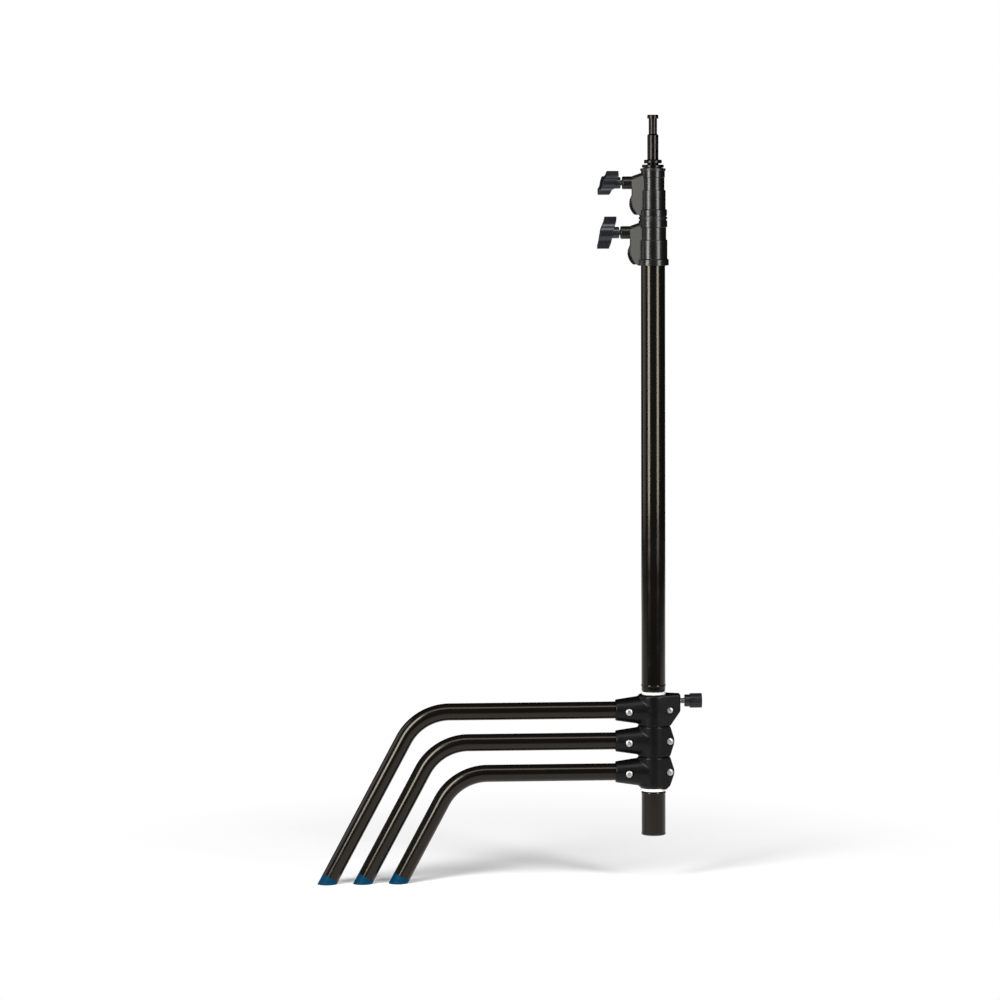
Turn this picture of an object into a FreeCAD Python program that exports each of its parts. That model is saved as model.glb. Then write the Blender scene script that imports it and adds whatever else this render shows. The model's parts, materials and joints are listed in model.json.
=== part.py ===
import FreeCAD, Part
import math
import os

# A short double-riser C-stand with a detachable column, folded for storage.
# Millimetres. +Z is up, the origin is on the column's axis at floor level, and the
# folded legs point along -X. The lock knob of the column is on the +X side.

V = FreeCAD.Vector
ORIGIN = V(0, 0, 0)
X_AXIS = V(1, 0, 0)
Y_AXIS = V(0, 1, 0)
Z_AXIS = V(0, 0, 1)

# Clearances
RUN = 0.08               # radial play of a running fit
GAP = 0.3                # free gap between bodies that turn or slide on each other
SNUG = 0.05              # radial play of a piece that is seated for good

# Telescopic tubes: outer radius and wall
COLUMN_R, MID_R, TOP_R = 17.5, 15.0, 12.5
RISER_WALL = 1.5
PIN_R = 14.3             # base pin of the column
BASE_BORE_R = PIN_R + RUN

# Base tube
BASE_BOTTOM = 70.0
BASE_TOP = 274.3
BEAD_Z = 129.5
BEAD_PROUD = 0.6
BEAD_HALF = 1.3
END_CAP_LIP_R = 17.8
END_CAP_LIP = 2.6
END_CAP_DEPTH = 16.0

# Legs, from the top casting down
LEG_NAMES = ("top", "middle", "lower")
LEG_TOP_Z = 251.25       # centre line of the top leg's straight run
LEG_PITCH = 45.5
LEG_R = 12.5
LEG_WALL = 2.0
LEG_BEND_R = 76.0
LEG_BEND_DEG = 61.8
LEG_BEND_START = 297.7   # the top leg's bend starts this far from the axis
LEG_NEST = 27.5          # each lower leg is shorter by this
LEG_END_FROM_FLOOR = 12.3
PLUG_DEPTH = 24.0

# Leg castings
HUB_R = 23.0
HUB_HALF = 22.45
LOWER_HUB_BOTTOM = 135.4
BUSH_WALL = 1.25
BUSH_BORE_R = COLUMN_R + RUN
HUB_BORE_R = BUSH_BORE_R + BUSH_WALL + SNUG
BUSH_PROUD = 3.0         # the lowest bush shows under its casting
SOCKET_END = 56.0
SOCKET_END_R = 15.5
SOCKET_ROOT = 9.0
SOCKET_ROOT_R = 22.3
SOCKET_DEPTH = 29.0
EAR_TIP = 30.0
EAR_HALF_W = 9.0
EAR_ROOT = 23.7
EAR_FLAT = 3.0
BOSS_TIP = 39.0
BOSS_UNDER = 249.5
SLIT = 2.0
SLIT_TOP = 256.5         # the top casting is slit only up to here
SHOULDER = 2.5
LOWER_TAPER = 5.0
CROTCH_FILLET = 4.0
WASHER_R = 20.6
WASHER_T = 1.0

# Fasteners
LEG_BOLT_X = -36.5
LEG_BOLT_DROP = 1.5
LEG_BOLT_R = 3.0
LEG_BOLT_SEAT = 14.6
CLAMP_BOLT_X = 22.6
CLAMP_BOLT_R = 2.5
CLAMP_BOLT_SEAT = 10.5
HEAD_R = 5.3
HEAD_T = 3.1
HEX_KEY_R = 2.3
HEX_KEY_DEPTH = 1.8
COUNTERBORE_R = 6.3
CLAMP_BORE_R = 5.9
NUT_FLAT_R = 5.0
NUT_T = 4.6

# Column lock
LOCK_Z = 264.0
SCREW_R = 4.0
LOCK_TIP_R = 3.0
LOCK_TIP_END = 17.0
KNOB_START = 45.2
KNOB_STEP = 53.1
KNOB_END = 70.4
KNOB_NECK_R = 8.9
KNOB_R = 10.7

# Column
COLUMN_BOTTOM = 278.0
COLUMN_BEAD_Z = 287.3
COLUMN_END_ROUND = 3.0
COLUMN_LIP = 3.0
PIN_BOTTOM = 118.0
PIN_HEAD_TOP = 315.0
PIN_WALL = 3.3
PIN_NOSE, PIN_NOSE_L = 2.0, 4.0
THRUST_R = 17.3

# Collar castings, measured from the collar's bottom and from its tube's radius
LOWER_COLLAR_Z = 898.8
UPPER_COLLAR_Z = 970.4
COLLAR_H = 64.6
TUBE_SOCKET = 35.2
FLANGE_H, FLANGE_WALL = 8.6, 5.3
BAND_TOP, BAND_WALL = 36.8, 3.3
NECK_TOP, NECK_WALL = 55.2, 1.6
RIM_WALL = 3.2
SCREW_Z = 47.6
SCREW_BOSS_R = 9.3
SCREW_BOSS_OUT = 29.6
FIN_OUT = 15.3
FIN_TOP = 57.0
FIN_FOOT = 30.0
LOBE_OUT = 18.9
LOBE_MID = 15.0
LOBE_END = 11.5
RIB = 3.1                # the fin's thin centre rib stands this far outside its thick faces
FIN_HALF_T = 9.2
RIB_HALF_T = 6.0
SLEEVE_WALL = 1.17
LOWER_STEP_WALL, LOWER_STEP_H = 1.8, 2.2   # the sleeves' lips above their collars
LOWER_RING_WALL, LOWER_RING_H = 3.1, 3.0
UPPER_RING_WALL, UPPER_RING_H = 3.3, 3.6
UPPER_STEP_WALL = 2.2                      # from the top riser's radius
PAD_R = 5.4
PAD_OUT = 5.0
PAD_TRAVEL_ROOM = 3.6

# T-handles, measured from the hub's inner end
LOWER_HANDLE_X = -49.2
UPPER_HANDLE_X = -47.2
UPPER_HANDLE_TURN = 52.0
GRIP_HUB_R, GRIP_HUB_L = 8.4, 10.7
GRIP_BARREL_R, GRIP_BARREL_END = 10.0, 25.5
WING_REACH = 23.2
WING_W = 17.3
WING_T = 8.6
WING_MID = 17.5
WING_SLANT = 5.7
WING_ROUND = 2.0
GRIP_SCREW_L = 18.0

# Risers
MID_BOTTOM = 330.0
TOP_BOTTOM = 353.0
RISER_TOP = 1039.9
CAP_LIP = 3.0
CAP_PLUG = 12.0
GUIDE_H = 15.0
SNAP_T = 1.5
SPIGOT_R, SPIGOT_WAIST_R = 8.0, 6.0
SPIGOT_FLANGE_R, SPIGOT_FLANGE_T = 15.8, 4.0
SPIGOT_RING_R, SPIGOT_RING_T = 12.9, 5.2
SPIGOT_NECK_H = 1.9
SPIGOT_WAIST_Z, SPIGOT_HEAD_Z, SPIGOT_TOP = 1087.2, 1110.0, 1115.7
SPIGOT_BEVEL = 0.8
SPIGOT_PLUG = 12.0       # the plug reaches this far below the roll pin
ROLL_PIN_R = 2.0
ROLL_PIN_Z = 1027.0


def tube_z(r_out, r_in, z0, z1):
    """A plain ring or tube on the column's axis."""
    outer = Part.makeCylinder(r_out, z1 - z0, V(0, 0, z0))
    return outer.cut(Part.makeCylinder(r_in, z1 - z0 + 2, V(0, 0, z0 - 1)))


def rod_z(r, z0, z1):
    return Part.makeCylinder(r, z1 - z0, V(0, 0, z0))


def rod_x(r, x0, x1, z):
    return Part.makeCylinder(r, x1 - x0, V(x0, 0, z), X_AXIS)


def rod_y(r, y0, y1, x, z):
    return Part.makeCylinder(r, y1 - y0, V(x, y0, z), Y_AXIS)


def turned(profile):
    """A solid of revolution about Z from (radius, z) points."""
    points = [V(r, 0, z) for r, z in profile]
    wire = Part.makePolygon(points + points[:1])
    return Part.Face(wire).revolve(ORIGIN, Z_AXIS, 360)


def plate(wire, half_t):
    """A flat wire in the XZ plane thickened equally to both sides."""
    face = Part.Face(wire)
    face.translate(V(0, -half_t, 0))
    return face.extrude(V(0, 2 * half_t, 0))


def prism_y(points, half_t):
    corners = [V(x, 0, z) for x, z in points]
    return plate(Part.makePolygon(corners + corners[:1]), half_t)


def hex_y(r_flat, y0, y1, x, z):
    """A hexagonal bar along Y, r_flat from its axis to each flat."""
    r = r_flat / math.cos(math.pi / 6)
    corners = []
    for i in range(6):
        a = math.pi / 3 * i
        corners.append(V(x + r * math.cos(a), y0, z + r * math.sin(a)))
    face = Part.Face(Part.makePolygon(corners + corners[:1]))
    return face.extrude(V(0, y1 - y0, 0))


# Legs ---------------------------------------------------------------------------


def leg_z(index):
    return LEG_TOP_Z - index * LEG_PITCH


def leg_line(index):
    """The bend's end, the straight run's direction and its length to the floor."""
    bend_x = LEG_BEND_START - index * LEG_NEST
    angle = math.radians(LEG_BEND_DEG)
    end_x = -bend_x - LEG_BEND_R * math.sin(angle)
    end_z = leg_z(index) - LEG_BEND_R * (1 - math.cos(angle))
    down = V(-math.cos(angle), 0, -math.sin(angle))
    return V(end_x, 0, end_z), down, end_z / math.sin(angle)


def leg_path(index, extra):
    """Straight run, bend and slanted run, lengthened at both ends by extra."""
    z = leg_z(index)
    bend_x = LEG_BEND_START - index * LEG_NEST
    half = math.radians(LEG_BEND_DEG) / 2
    start = V(-(SOCKET_END - SOCKET_DEPTH) + extra, 0, z)
    bend = V(-bend_x, 0, z)
    mid_x = -bend_x - LEG_BEND_R * math.sin(half)
    middle = V(mid_x, 0, z - LEG_BEND_R * (1 - math.cos(half)))
    end, down, run = leg_line(index)
    foot = end + down * (run - LEG_END_FROM_FLOOR + extra)
    return Part.Wire([
        Part.LineSegment(start, bend).toShape(),
        Part.Arc(bend, middle, end).toShape(),
        Part.LineSegment(end, foot).toShape(),
    ])


def swept(path, r):
    start = path.Edges[0].valueAt(path.Edges[0].FirstParameter)
    profile = Part.Wire(Part.makeCircle(r, start, X_AXIS))
    return path.makePipeShell([profile], True, False)


def leg_tube(index):
    bolt = rod_y(LEG_BOLT_R + SNUG, -2 * LEG_R, 2 * LEG_R, LEG_BOLT_X, bolt_z(index))
    wall = swept(leg_path(index, 0), LEG_R).cut(swept(leg_path(index, 1), LEG_R - LEG_WALL))
    return wall.cut(bolt)


def foot_plug(index):
    """A plastic plug in the tube's end, cut level where it meets the floor."""
    end, down, run = leg_line(index)
    tube_end = end + down * (run - LEG_END_FROM_FLOOR)
    stem_r = LEG_R - LEG_WALL - SNUG
    stem = Part.makeCylinder(stem_r, PLUG_DEPTH, tube_end - down * PLUG_DEPTH, down)
    foot = Part.makeCylinder(LEG_R, 3 * LEG_END_FROM_FLOOR, tube_end, down)
    size = 8 * LEG_R
    under = Part.makeBox(size, size, size, tube_end - V(size / 2, size / 2, size + tube_end.z))
    return stem.fuse(foot.cut(under)).removeSplitter()


# Leg castings -------------------------------------------------------------------


def hub_span(index):
    """Bottom and top of a casting's hub."""
    z = leg_z(index)
    if index == 0:
        return z - HUB_HALF, BASE_TOP
    if index == 2:
        return LOWER_HUB_BOTTOM, z + HUB_HALF
    return z - HUB_HALF, z + HUB_HALF


def bolt_z(index):
    return leg_z(index) - LEG_BOLT_DROP


def ear_plan(tip, z0, z1):
    """The hub's round outline drawn out to a flat tip by two tangent walls."""
    reach = math.hypot(tip, EAR_HALF_W)
    angle = math.atan2(EAR_HALF_W, tip) + math.acos(HUB_R / reach)
    x, y = HUB_R * math.cos(angle), HUB_R * math.sin(angle)
    corners = [V(x, y, z0), V(tip, EAR_HALF_W, z0), V(tip, -EAR_HALF_W, z0), V(x, -y, z0)]
    corners.append(V(0, 0, z0))
    face = Part.Face(Part.makePolygon(corners + corners[:1]))
    return face.extrude(V(0, 0, z1 - z0))


def ear(index):
    """The split ear with the clamp bolt; on the top casting it carries the lock's boss."""
    z0, z1 = hub_span(index)
    z = leg_z(index)
    if index == 0:
        side = [(0, z0), (EAR_ROOT, z0), (BOSS_TIP, BOSS_UNDER), (BOSS_TIP, z1), (0, z1)]
        return ear_plan(BOSS_TIP, z0, z1).common(prism_y(side, HUB_R))
    side = [(0, z0), (EAR_ROOT, z0), (EAR_TIP, z - EAR_FLAT), (EAR_TIP, z + EAR_FLAT)]
    side += [(EAR_ROOT, z1), (0, z1)]
    return ear_plan(EAR_TIP, z0, z1).common(prism_y(side, HUB_R))


def hub(index):
    z0, z1 = hub_span(index)
    top = SHOULDER if index == 0 else 0.01
    bottom = LOWER_TAPER if index == 2 else 0.01
    return turned([
        (0, z0), (HUB_R - bottom, z0), (HUB_R, z0 + bottom),
        (HUB_R, z1 - top), (HUB_R - top, z1), (0, z1),
    ])


def socket(index):
    length = SOCKET_END - SOCKET_ROOT
    base = V(-SOCKET_END, 0, leg_z(index))
    return Part.makeCone(SOCKET_END_R, SOCKET_ROOT_R, length, base, X_AXIS)


def crotch_edges(body):
    """The seam where the socket's cone runs into the round hub."""
    found = []
    for edge in body.Edges:
        kinds = {type(f.Surface).__name__ for f in body.ancestorsOfType(edge, Part.Face)}
        if kinds == {"Cone", "Cylinder"} and edge.BoundBox.XMax < -EAR_HALF_W:
            found.append(edge)
    return found


def casting_body(index):
    body = hub(index).fuse(socket(index)).removeSplitter()
    seam = crotch_edges(body)
    if seam:
        body = body.makeFillet(CROTCH_FILLET, seam)
    return body.fuse(ear(index)).removeSplitter()


def casting_holes(index):
    """Every hole of a casting, as one list of cutters."""
    z0, z1 = hub_span(index)
    z = leg_z(index)
    far = 3 * HUB_R
    slit_top = SLIT_TOP if index == 0 else z1 + 1
    bore_r = COLUMN_R if index == 0 else HUB_BORE_R
    cutters = [
        rod_z(bore_r, z0 - 1, z1 + 1),
        rod_x(LEG_R, -SOCKET_END - 1, -(SOCKET_END - SOCKET_DEPTH), z),
        Part.makeBox(far, SLIT, slit_top - z0 + 1, V(bore_r - 2, -SLIT / 2, z0 - 1)),
        rod_y(LEG_BOLT_R + SNUG, -far, far, LEG_BOLT_X, bolt_z(index)),
        rod_y(CLAMP_BOLT_R + SNUG, -far, far, CLAMP_BOLT_X, z),
    ]
    for side in (-1, 1):
        y_leg = sorted((side * LEG_BOLT_SEAT, side * far))
        y_clamp = sorted((side * CLAMP_BOLT_SEAT, side * far))
        cutters.append(rod_y(COUNTERBORE_R, *y_leg, LEG_BOLT_X, bolt_z(index)))
        cutters.append(rod_y(CLAMP_BORE_R, *y_clamp, CLAMP_BOLT_X, z))
    if index == 0:
        cutters.append(rod_x(SCREW_R + RUN, 0, BOSS_TIP + 1, LOCK_Z))
    else:
        cutters.append(rod_z(WASHER_R + SNUG, z1 - WASHER_T, z1 + 1))
    return cutters


def casting(index):
    body = casting_body(index)
    for cutter in casting_holes(index):
        body = body.cut(cutter)
    return body


def friction_bush(index):
    z0, z1 = hub_span(index)
    if index == 2:
        z0 -= BUSH_PROUD
    return tube_z(BUSH_BORE_R + BUSH_WALL, BUSH_BORE_R, z0, z1 - WASHER_T)


def spacer_washer(index):
    z1 = hub_span(index)[1]
    return tube_z(WASHER_R, BUSH_BORE_R, z1 - WASHER_T, z1 + GAP)


def button_bolt(r, seat, length, x, z):
    """A button-head bolt along Y with its head on the -Y side and a hexagon socket."""
    shank = rod_y(r, -seat, length - seat, x, z)
    head = rod_y(HEAD_R, -seat - HEAD_T, -seat, x, z)
    rim = [e for e in head.Edges if abs(e.BoundBox.YMin + seat + HEAD_T) < SNUG and e.Closed]
    head = head.makeFillet(HEAD_T / 2, rim[:1])
    key = hex_y(HEX_KEY_R, -seat - HEAD_T - 1, -seat - HEAD_T + HEX_KEY_DEPTH, x, z)
    return shank.fuse(head).cut(key).removeSplitter()


def hex_nut(r, seat, x, z):
    nut = hex_y(NUT_FLAT_R, seat, seat + NUT_T, x, z)
    return nut.cut(rod_y(r, seat - 1, seat + NUT_T + 1, x, z))


def leg_parts(index):
    """One leg's pieces by node name."""
    name = LEG_NAMES[index]
    z = leg_z(index)
    leg_bolt_l = 2 * LEG_BOLT_SEAT + NUT_T + 1
    clamp_bolt_l = 2 * CLAMP_BOLT_SEAT + NUT_T + 1
    parts = {
        name + "_leg_casting": casting(index),
        name + "_leg_tube": leg_tube(index),
        name + "_leg_foot_plug": foot_plug(index),
        name + "_leg_bolt": button_bolt(
            LEG_BOLT_R, LEG_BOLT_SEAT, leg_bolt_l, LEG_BOLT_X, bolt_z(index)),
        name + "_leg_nut": hex_nut(LEG_BOLT_R, LEG_BOLT_SEAT, LEG_BOLT_X, bolt_z(index)),
        name + "_clamp_bolt": button_bolt(
            CLAMP_BOLT_R, CLAMP_BOLT_SEAT, clamp_bolt_l, CLAMP_BOLT_X, z),
        name + "_clamp_nut": hex_nut(CLAMP_BOLT_R, CLAMP_BOLT_SEAT, CLAMP_BOLT_X, z),
    }
    if index > 0:
        parts[name + "_leg_bush"] = friction_bush(index)
        parts[name + "_leg_spacer"] = spacer_washer(index)
    return parts


# Base tube, column and its lock ---------------------------------------------------


def base_tube():
    """The receiver tube, with a rolled bead that holds the castings up."""
    tube = turned([
        (BASE_BORE_R, BASE_BOTTOM), (COLUMN_R, BASE_BOTTOM),
        (COLUMN_R, BEAD_Z - BEAD_HALF), (COLUMN_R + BEAD_PROUD, BEAD_Z - BEAD_HALF / 2),
        (COLUMN_R + BEAD_PROUD, BEAD_Z + BEAD_HALF / 2), (COLUMN_R, BEAD_Z + BEAD_HALF),
        (COLUMN_R, BASE_TOP), (BASE_BORE_R, BASE_TOP),
    ])
    return tube.cut(rod_x(SCREW_R + GAP, 0, 2 * COLUMN_R, LOCK_Z))


def base_end_cap():
    lip = rod_z(END_CAP_LIP_R, BASE_BOTTOM - END_CAP_LIP, BASE_BOTTOM)
    lip_edge = [e for e in lip.Edges if e.Closed and e.BoundBox.ZMax < BASE_BOTTOM - 1]
    lip = lip.makeFillet(END_CAP_LIP / 2, lip_edge)
    stem = rod_z(BASE_BORE_R - SNUG, BASE_BOTTOM, BASE_BOTTOM + END_CAP_DEPTH)
    return lip.fuse(stem).removeSplitter()


def thrust_washer():
    return tube_z(THRUST_R, PIN_R + RUN, BASE_TOP + RUN, COLUMN_BOTTOM - RUN)


def column_tube():
    """The column: beaded near its rounded end, which holds the base pin's head."""
    bore = COLUMN_R - RISER_WALL
    edge = COLUMN_END_ROUND * (1 - math.cos(math.pi / 4))
    return turned([
        (PIN_R + SNUG, COLUMN_BOTTOM), (COLUMN_R - COLUMN_END_ROUND, COLUMN_BOTTOM),
        (COLUMN_R - edge, COLUMN_BOTTOM + edge), (COLUMN_R, COLUMN_BOTTOM + COLUMN_END_ROUND),
        (COLUMN_R, COLUMN_BEAD_Z - BEAD_HALF), (COLUMN_R + BEAD_PROUD, COLUMN_BEAD_Z),
        (COLUMN_R, COLUMN_BEAD_Z + BEAD_HALF), (COLUMN_R, LOWER_COLLAR_Z + TUBE_SOCKET),
        (bore, LOWER_COLLAR_Z + TUBE_SOCKET), (bore, COLUMN_BOTTOM + COLUMN_LIP),
        (PIN_R + SNUG, COLUMN_BOTTOM + COLUMN_LIP),
    ])


def base_pin():
    """The hollow pin under the column; its head is seated in the column's end."""
    head_r = COLUMN_R - RISER_WALL - SNUG
    shoulder = COLUMN_BOTTOM + COLUMN_LIP
    return turned([
        (PIN_R - PIN_WALL, PIN_BOTTOM), (PIN_R - PIN_NOSE, PIN_BOTTOM),
        (PIN_R, PIN_BOTTOM + PIN_NOSE_L), (PIN_R, shoulder), (head_r, shoulder), (head_r, PIN_HEAD_TOP),
        (PIN_R - PIN_WALL, PIN_HEAD_TOP),
    ])


def lock_tip():
    return rod_x(LOCK_TIP_R, PIN_R + GAP, LOCK_TIP_END, LOCK_Z)


def lock_screw():
    return rod_x(SCREW_R, LOCK_TIP_END + GAP, KNOB_STEP, LOCK_Z)


def lock_knob():
    knob = rod_x(KNOB_NECK_R, KNOB_START, KNOB_STEP, LOCK_Z)
    knob = knob.fuse(rod_x(KNOB_R, KNOB_STEP, KNOB_END, LOCK_Z))
    return knob.cut(rod_x(SCREW_R, KNOB_START - 1, KNOB_STEP, LOCK_Z))


# Collars ------------------------------------------------------------------------


def fin_wire(tube_r, z0, inset):
    """Outline of a collar's fin, drawn inwards by inset at its slope and lobe."""
    top_x = -(tube_r + FIN_OUT)
    return Part.Wire([
        Part.LineSegment(V(-tube_r, 0, z0 + 1), V(-tube_r, 0, z0 + COLLAR_H - 1 - inset)).toShape(),
        Part.LineSegment(V(-tube_r, 0, z0 + COLLAR_H - 1 - inset),
                         V(top_x, 0, z0 + FIN_TOP - inset)).toShape(),
        Part.LineSegment(V(top_x, 0, z0 + FIN_TOP - inset), V(top_x, 0, z0 + FIN_FOOT)).toShape(),
        Part.Arc(V(top_x, 0, z0 + FIN_FOOT),
                 V(-(tube_r + LOBE_OUT - inset), 0, z0 + LOBE_MID),
                 V(-(tube_r + LOBE_END - inset), 0, z0 + 1)).toShape(),
        Part.LineSegment(V(-(tube_r + LOBE_END - inset), 0, z0 + 1),
                         V(-tube_r, 0, z0 + 1)).toShape(),
    ])


def collar(tube_r, z0, sleeve_out):
    """A clamp collar: stepped barrel, fin and screw boss."""
    barrel = turned([
        (0, z0), (tube_r + FLANGE_WALL, z0), (tube_r + FLANGE_WALL, z0 + FLANGE_H),
        (tube_r + BAND_WALL, z0 + FLANGE_H), (tube_r + BAND_WALL, z0 + BAND_TOP),
        (tube_r + NECK_WALL, z0 + BAND_TOP), (tube_r + NECK_WALL, z0 + NECK_TOP),
        (tube_r + RIM_WALL, z0 + NECK_TOP), (tube_r + RIM_WALL, z0 + COLLAR_H),
        (0, z0 + COLLAR_H),
    ])
    screw_z = z0 + SCREW_Z
    body = barrel.fuse(plate(fin_wire(tube_r, z0, 0), RIB_HALF_T))
    body = body.fuse(plate(fin_wire(tube_r, z0, RIB), FIN_HALF_T))
    body = body.fuse(rod_x(SCREW_BOSS_R, -(tube_r + SCREW_BOSS_OUT), -tube_r, screw_z))
    pad_end = -(tube_r + PAD_OUT + PAD_TRAVEL_ROOM)
    cutters = [
        rod_z(tube_r, z0 - 1, z0 + TUBE_SOCKET),
        rod_z(sleeve_out + SNUG, z0, z0 + COLLAR_H + 1),
        rod_x(PAD_R + RUN, pad_end, 0, screw_z),
        rod_x(SCREW_R + RUN, -(tube_r + SCREW_BOSS_OUT + 1), 0, screw_z),
    ]
    for cutter in cutters:
        body = body.cut(cutter)
    return body.removeSplitter()


def sleeve_radii(riser_r):
    return riser_r + RUN, riser_r + RUN + SLEEVE_WALL


def sleeve(riser_r, z0, lip):
    """A nylon sleeve in a collar's mouth; lip holds (radius, z) steps above the casting."""
    r_in, r_out = sleeve_radii(riser_r)
    profile = [(r_in, z0 + TUBE_SOCKET + GAP), (r_out, z0 + TUBE_SOCKET + GAP)]
    profile += [(r_out, z0 + COLLAR_H)] + lip + [(r_in, lip[-1][1])]
    body = turned(profile)
    return body.cut(rod_x(PAD_R + RUN, -2 * riser_r, 0, z0 + SCREW_Z))


def lower_sleeve():
    z0 = LOWER_COLLAR_Z + COLLAR_H
    z1 = z0 + LOWER_STEP_H
    z2 = z1 + LOWER_RING_H
    step, ring = COLUMN_R + LOWER_STEP_WALL, COLUMN_R + LOWER_RING_WALL
    lip = [(step, z0), (step, z1), (ring, z1), (ring, z2), (step, z2)]
    return sleeve(MID_R, LOWER_COLLAR_Z, lip + [(step, UPPER_COLLAR_Z - GAP)])


def upper_sleeve():
    z0 = UPPER_COLLAR_Z + COLLAR_H
    z1 = z0 + UPPER_RING_H
    ring, step = MID_R + UPPER_RING_WALL, TOP_R + UPPER_STEP_WALL
    lip = [(ring, z0), (ring, z1), (step, z1), (step, RISER_TOP - GAP)]
    return sleeve(TOP_R, UPPER_COLLAR_Z, lip)


def brake_pad(tube_r, riser_r, z):
    """A nylon pad with a hollow face that fits the riser it holds."""
    pad = rod_x(PAD_R, -(tube_r + PAD_OUT), 0, z)
    return pad.cut(rod_z(riser_r + RUN, z - 2 * PAD_R, z + 2 * PAD_R))


def handle_screw(tube_r, handle_x, z):
    return rod_x(SCREW_R, handle_x - GRIP_SCREW_L, -(tube_r + PAD_OUT + GAP), z)


def handle_grip(handle_x, z, turn):
    """A T-handle with two flat wings, one leaning in and one leaning out."""
    wings = [
        (handle_x - WING_MID + WING_SLANT + WING_W / 2, z + WING_REACH),
        (handle_x - WING_MID + WING_SLANT - WING_W / 2, z + WING_REACH),
        (handle_x - WING_MID - WING_SLANT - WING_W / 2, z - WING_REACH),
        (handle_x - WING_MID - WING_SLANT + WING_W / 2, z - WING_REACH),
    ]
    grip = prism_y(wings, WING_T / 2)
    tips = [e for e in grip.Edges if abs(e.BoundBox.ZMax - e.BoundBox.ZMin) < SNUG
            and e.BoundBox.YMax - e.BoundBox.YMin > WING_T / 2]
    grip = grip.makeFillet(WING_ROUND, tips)
    grip = grip.fuse(rod_x(GRIP_HUB_R, handle_x - GRIP_HUB_L, handle_x, z))
    grip = grip.fuse(rod_x(GRIP_BARREL_R, handle_x - GRIP_BARREL_END, handle_x - GRIP_HUB_L, z))
    grip = grip.cut(rod_x(SCREW_R, handle_x - GRIP_SCREW_L, handle_x + 1, z))
    grip.rotate(V(handle_x, 0, z), X_AXIS, turn)
    return grip


# Risers -------------------------------------------------------------------------


def riser_tube(r, z0, z1):
    return tube_z(r, r - RISER_WALL, z0, z1)


def riser_end(r, room_r, z0):
    """What runs inside the next tube: end cap, guide bush and snap ring, bottom to top."""
    lip_r = room_r - GAP
    cap = rod_z(lip_r, z0 - CAP_LIP, z0).fuse(rod_z(r - RISER_WALL - SNUG, z0, z0 + CAP_PLUG))
    bush = tube_z(room_r - RUN, r + RUN, z0 + GAP, z0 + GAP + GUIDE_H)
    snap_z = z0 + GAP + GUIDE_H + GAP
    snap = tube_z(lip_r, r + SNUG, snap_z, snap_z + SNAP_T)
    return cap.removeSplitter(), bush, snap


def spigot():
    """The 16 mm stud with its two flanges; its plug is pinned in the top riser."""
    plug_r = TOP_R - RISER_WALL - SNUG
    plug_z = ROLL_PIN_Z - SPIGOT_PLUG
    flange_top = RISER_TOP + SPIGOT_FLANGE_T
    ring_z = flange_top + SPIGOT_NECK_H
    stud_z = ring_z + SPIGOT_RING_T
    bevel = SPIGOT_BEVEL
    body = turned([
        (0, plug_z), (plug_r, plug_z), (plug_r, RISER_TOP),
        (SPIGOT_FLANGE_R - bevel, RISER_TOP), (SPIGOT_FLANGE_R, RISER_TOP + bevel),
        (SPIGOT_FLANGE_R, flange_top - bevel), (SPIGOT_FLANGE_R - bevel, flange_top),
        (SPIGOT_R, flange_top), (SPIGOT_R, ring_z), (SPIGOT_RING_R, ring_z),
        (SPIGOT_RING_R, stud_z), (SPIGOT_R, stud_z),
        (SPIGOT_R, SPIGOT_WAIST_Z - bevel), (SPIGOT_WAIST_R, SPIGOT_WAIST_Z + bevel),
        (SPIGOT_WAIST_R, SPIGOT_HEAD_Z), (SPIGOT_R, SPIGOT_HEAD_Z),
        (SPIGOT_R, SPIGOT_TOP - bevel), (SPIGOT_R - bevel, SPIGOT_TOP), (0, SPIGOT_TOP),
    ])
    return body.cut(rod_y(ROLL_PIN_R, -TOP_R, TOP_R, 0, ROLL_PIN_Z))


def roll_pin():
    half = TOP_R - GAP
    pin = rod_y(ROLL_PIN_R, -half, half, 0, ROLL_PIN_Z)
    return pin.cut(rod_y(ROLL_PIN_R / 2, -TOP_R, TOP_R, 0, ROLL_PIN_Z))


def top_riser_tube():
    tube = riser_tube(TOP_R, TOP_BOTTOM, RISER_TOP)
    return tube.cut(rod_y(ROLL_PIN_R, -2 * TOP_R, 2 * TOP_R, 0, ROLL_PIN_Z))


# The whole stand ------------------------------------------------------------------


def column_parts():
    screw_z = LOWER_COLLAR_Z + SCREW_Z
    return {
        "column_thrust_washer": thrust_washer(),
        "column_tube": column_tube(),
        "base_pin": base_pin(),
        "lower_collar": collar(COLUMN_R, LOWER_COLLAR_Z, sleeve_radii(MID_R)[1]),
        "lower_sleeve": lower_sleeve(),
        "lower_brake_pad": brake_pad(COLUMN_R, MID_R, screw_z),
        "lower_handle_screw": handle_screw(COLUMN_R, LOWER_HANDLE_X, screw_z),
        "lower_handle_grip": handle_grip(LOWER_HANDLE_X, screw_z, 0),
    }


def mid_riser_parts():
    screw_z = UPPER_COLLAR_Z + SCREW_Z
    cap, bush, snap = riser_end(MID_R, COLUMN_R - RISER_WALL, MID_BOTTOM)
    return {
        "mid_riser_guide": bush,
        "mid_riser_snap_ring": snap,
        "mid_riser_end_cap": cap,
        "mid_riser_tube": riser_tube(MID_R, MID_BOTTOM, UPPER_COLLAR_Z + TUBE_SOCKET),
        "upper_collar": collar(MID_R, UPPER_COLLAR_Z, sleeve_radii(TOP_R)[1]),
        "upper_sleeve": upper_sleeve(),
        "upper_brake_pad": brake_pad(MID_R, TOP_R, screw_z),
        "upper_handle_screw": handle_screw(MID_R, UPPER_HANDLE_X, screw_z),
        "upper_handle_grip": handle_grip(UPPER_HANDLE_X, screw_z, UPPER_HANDLE_TURN),
    }


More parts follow.
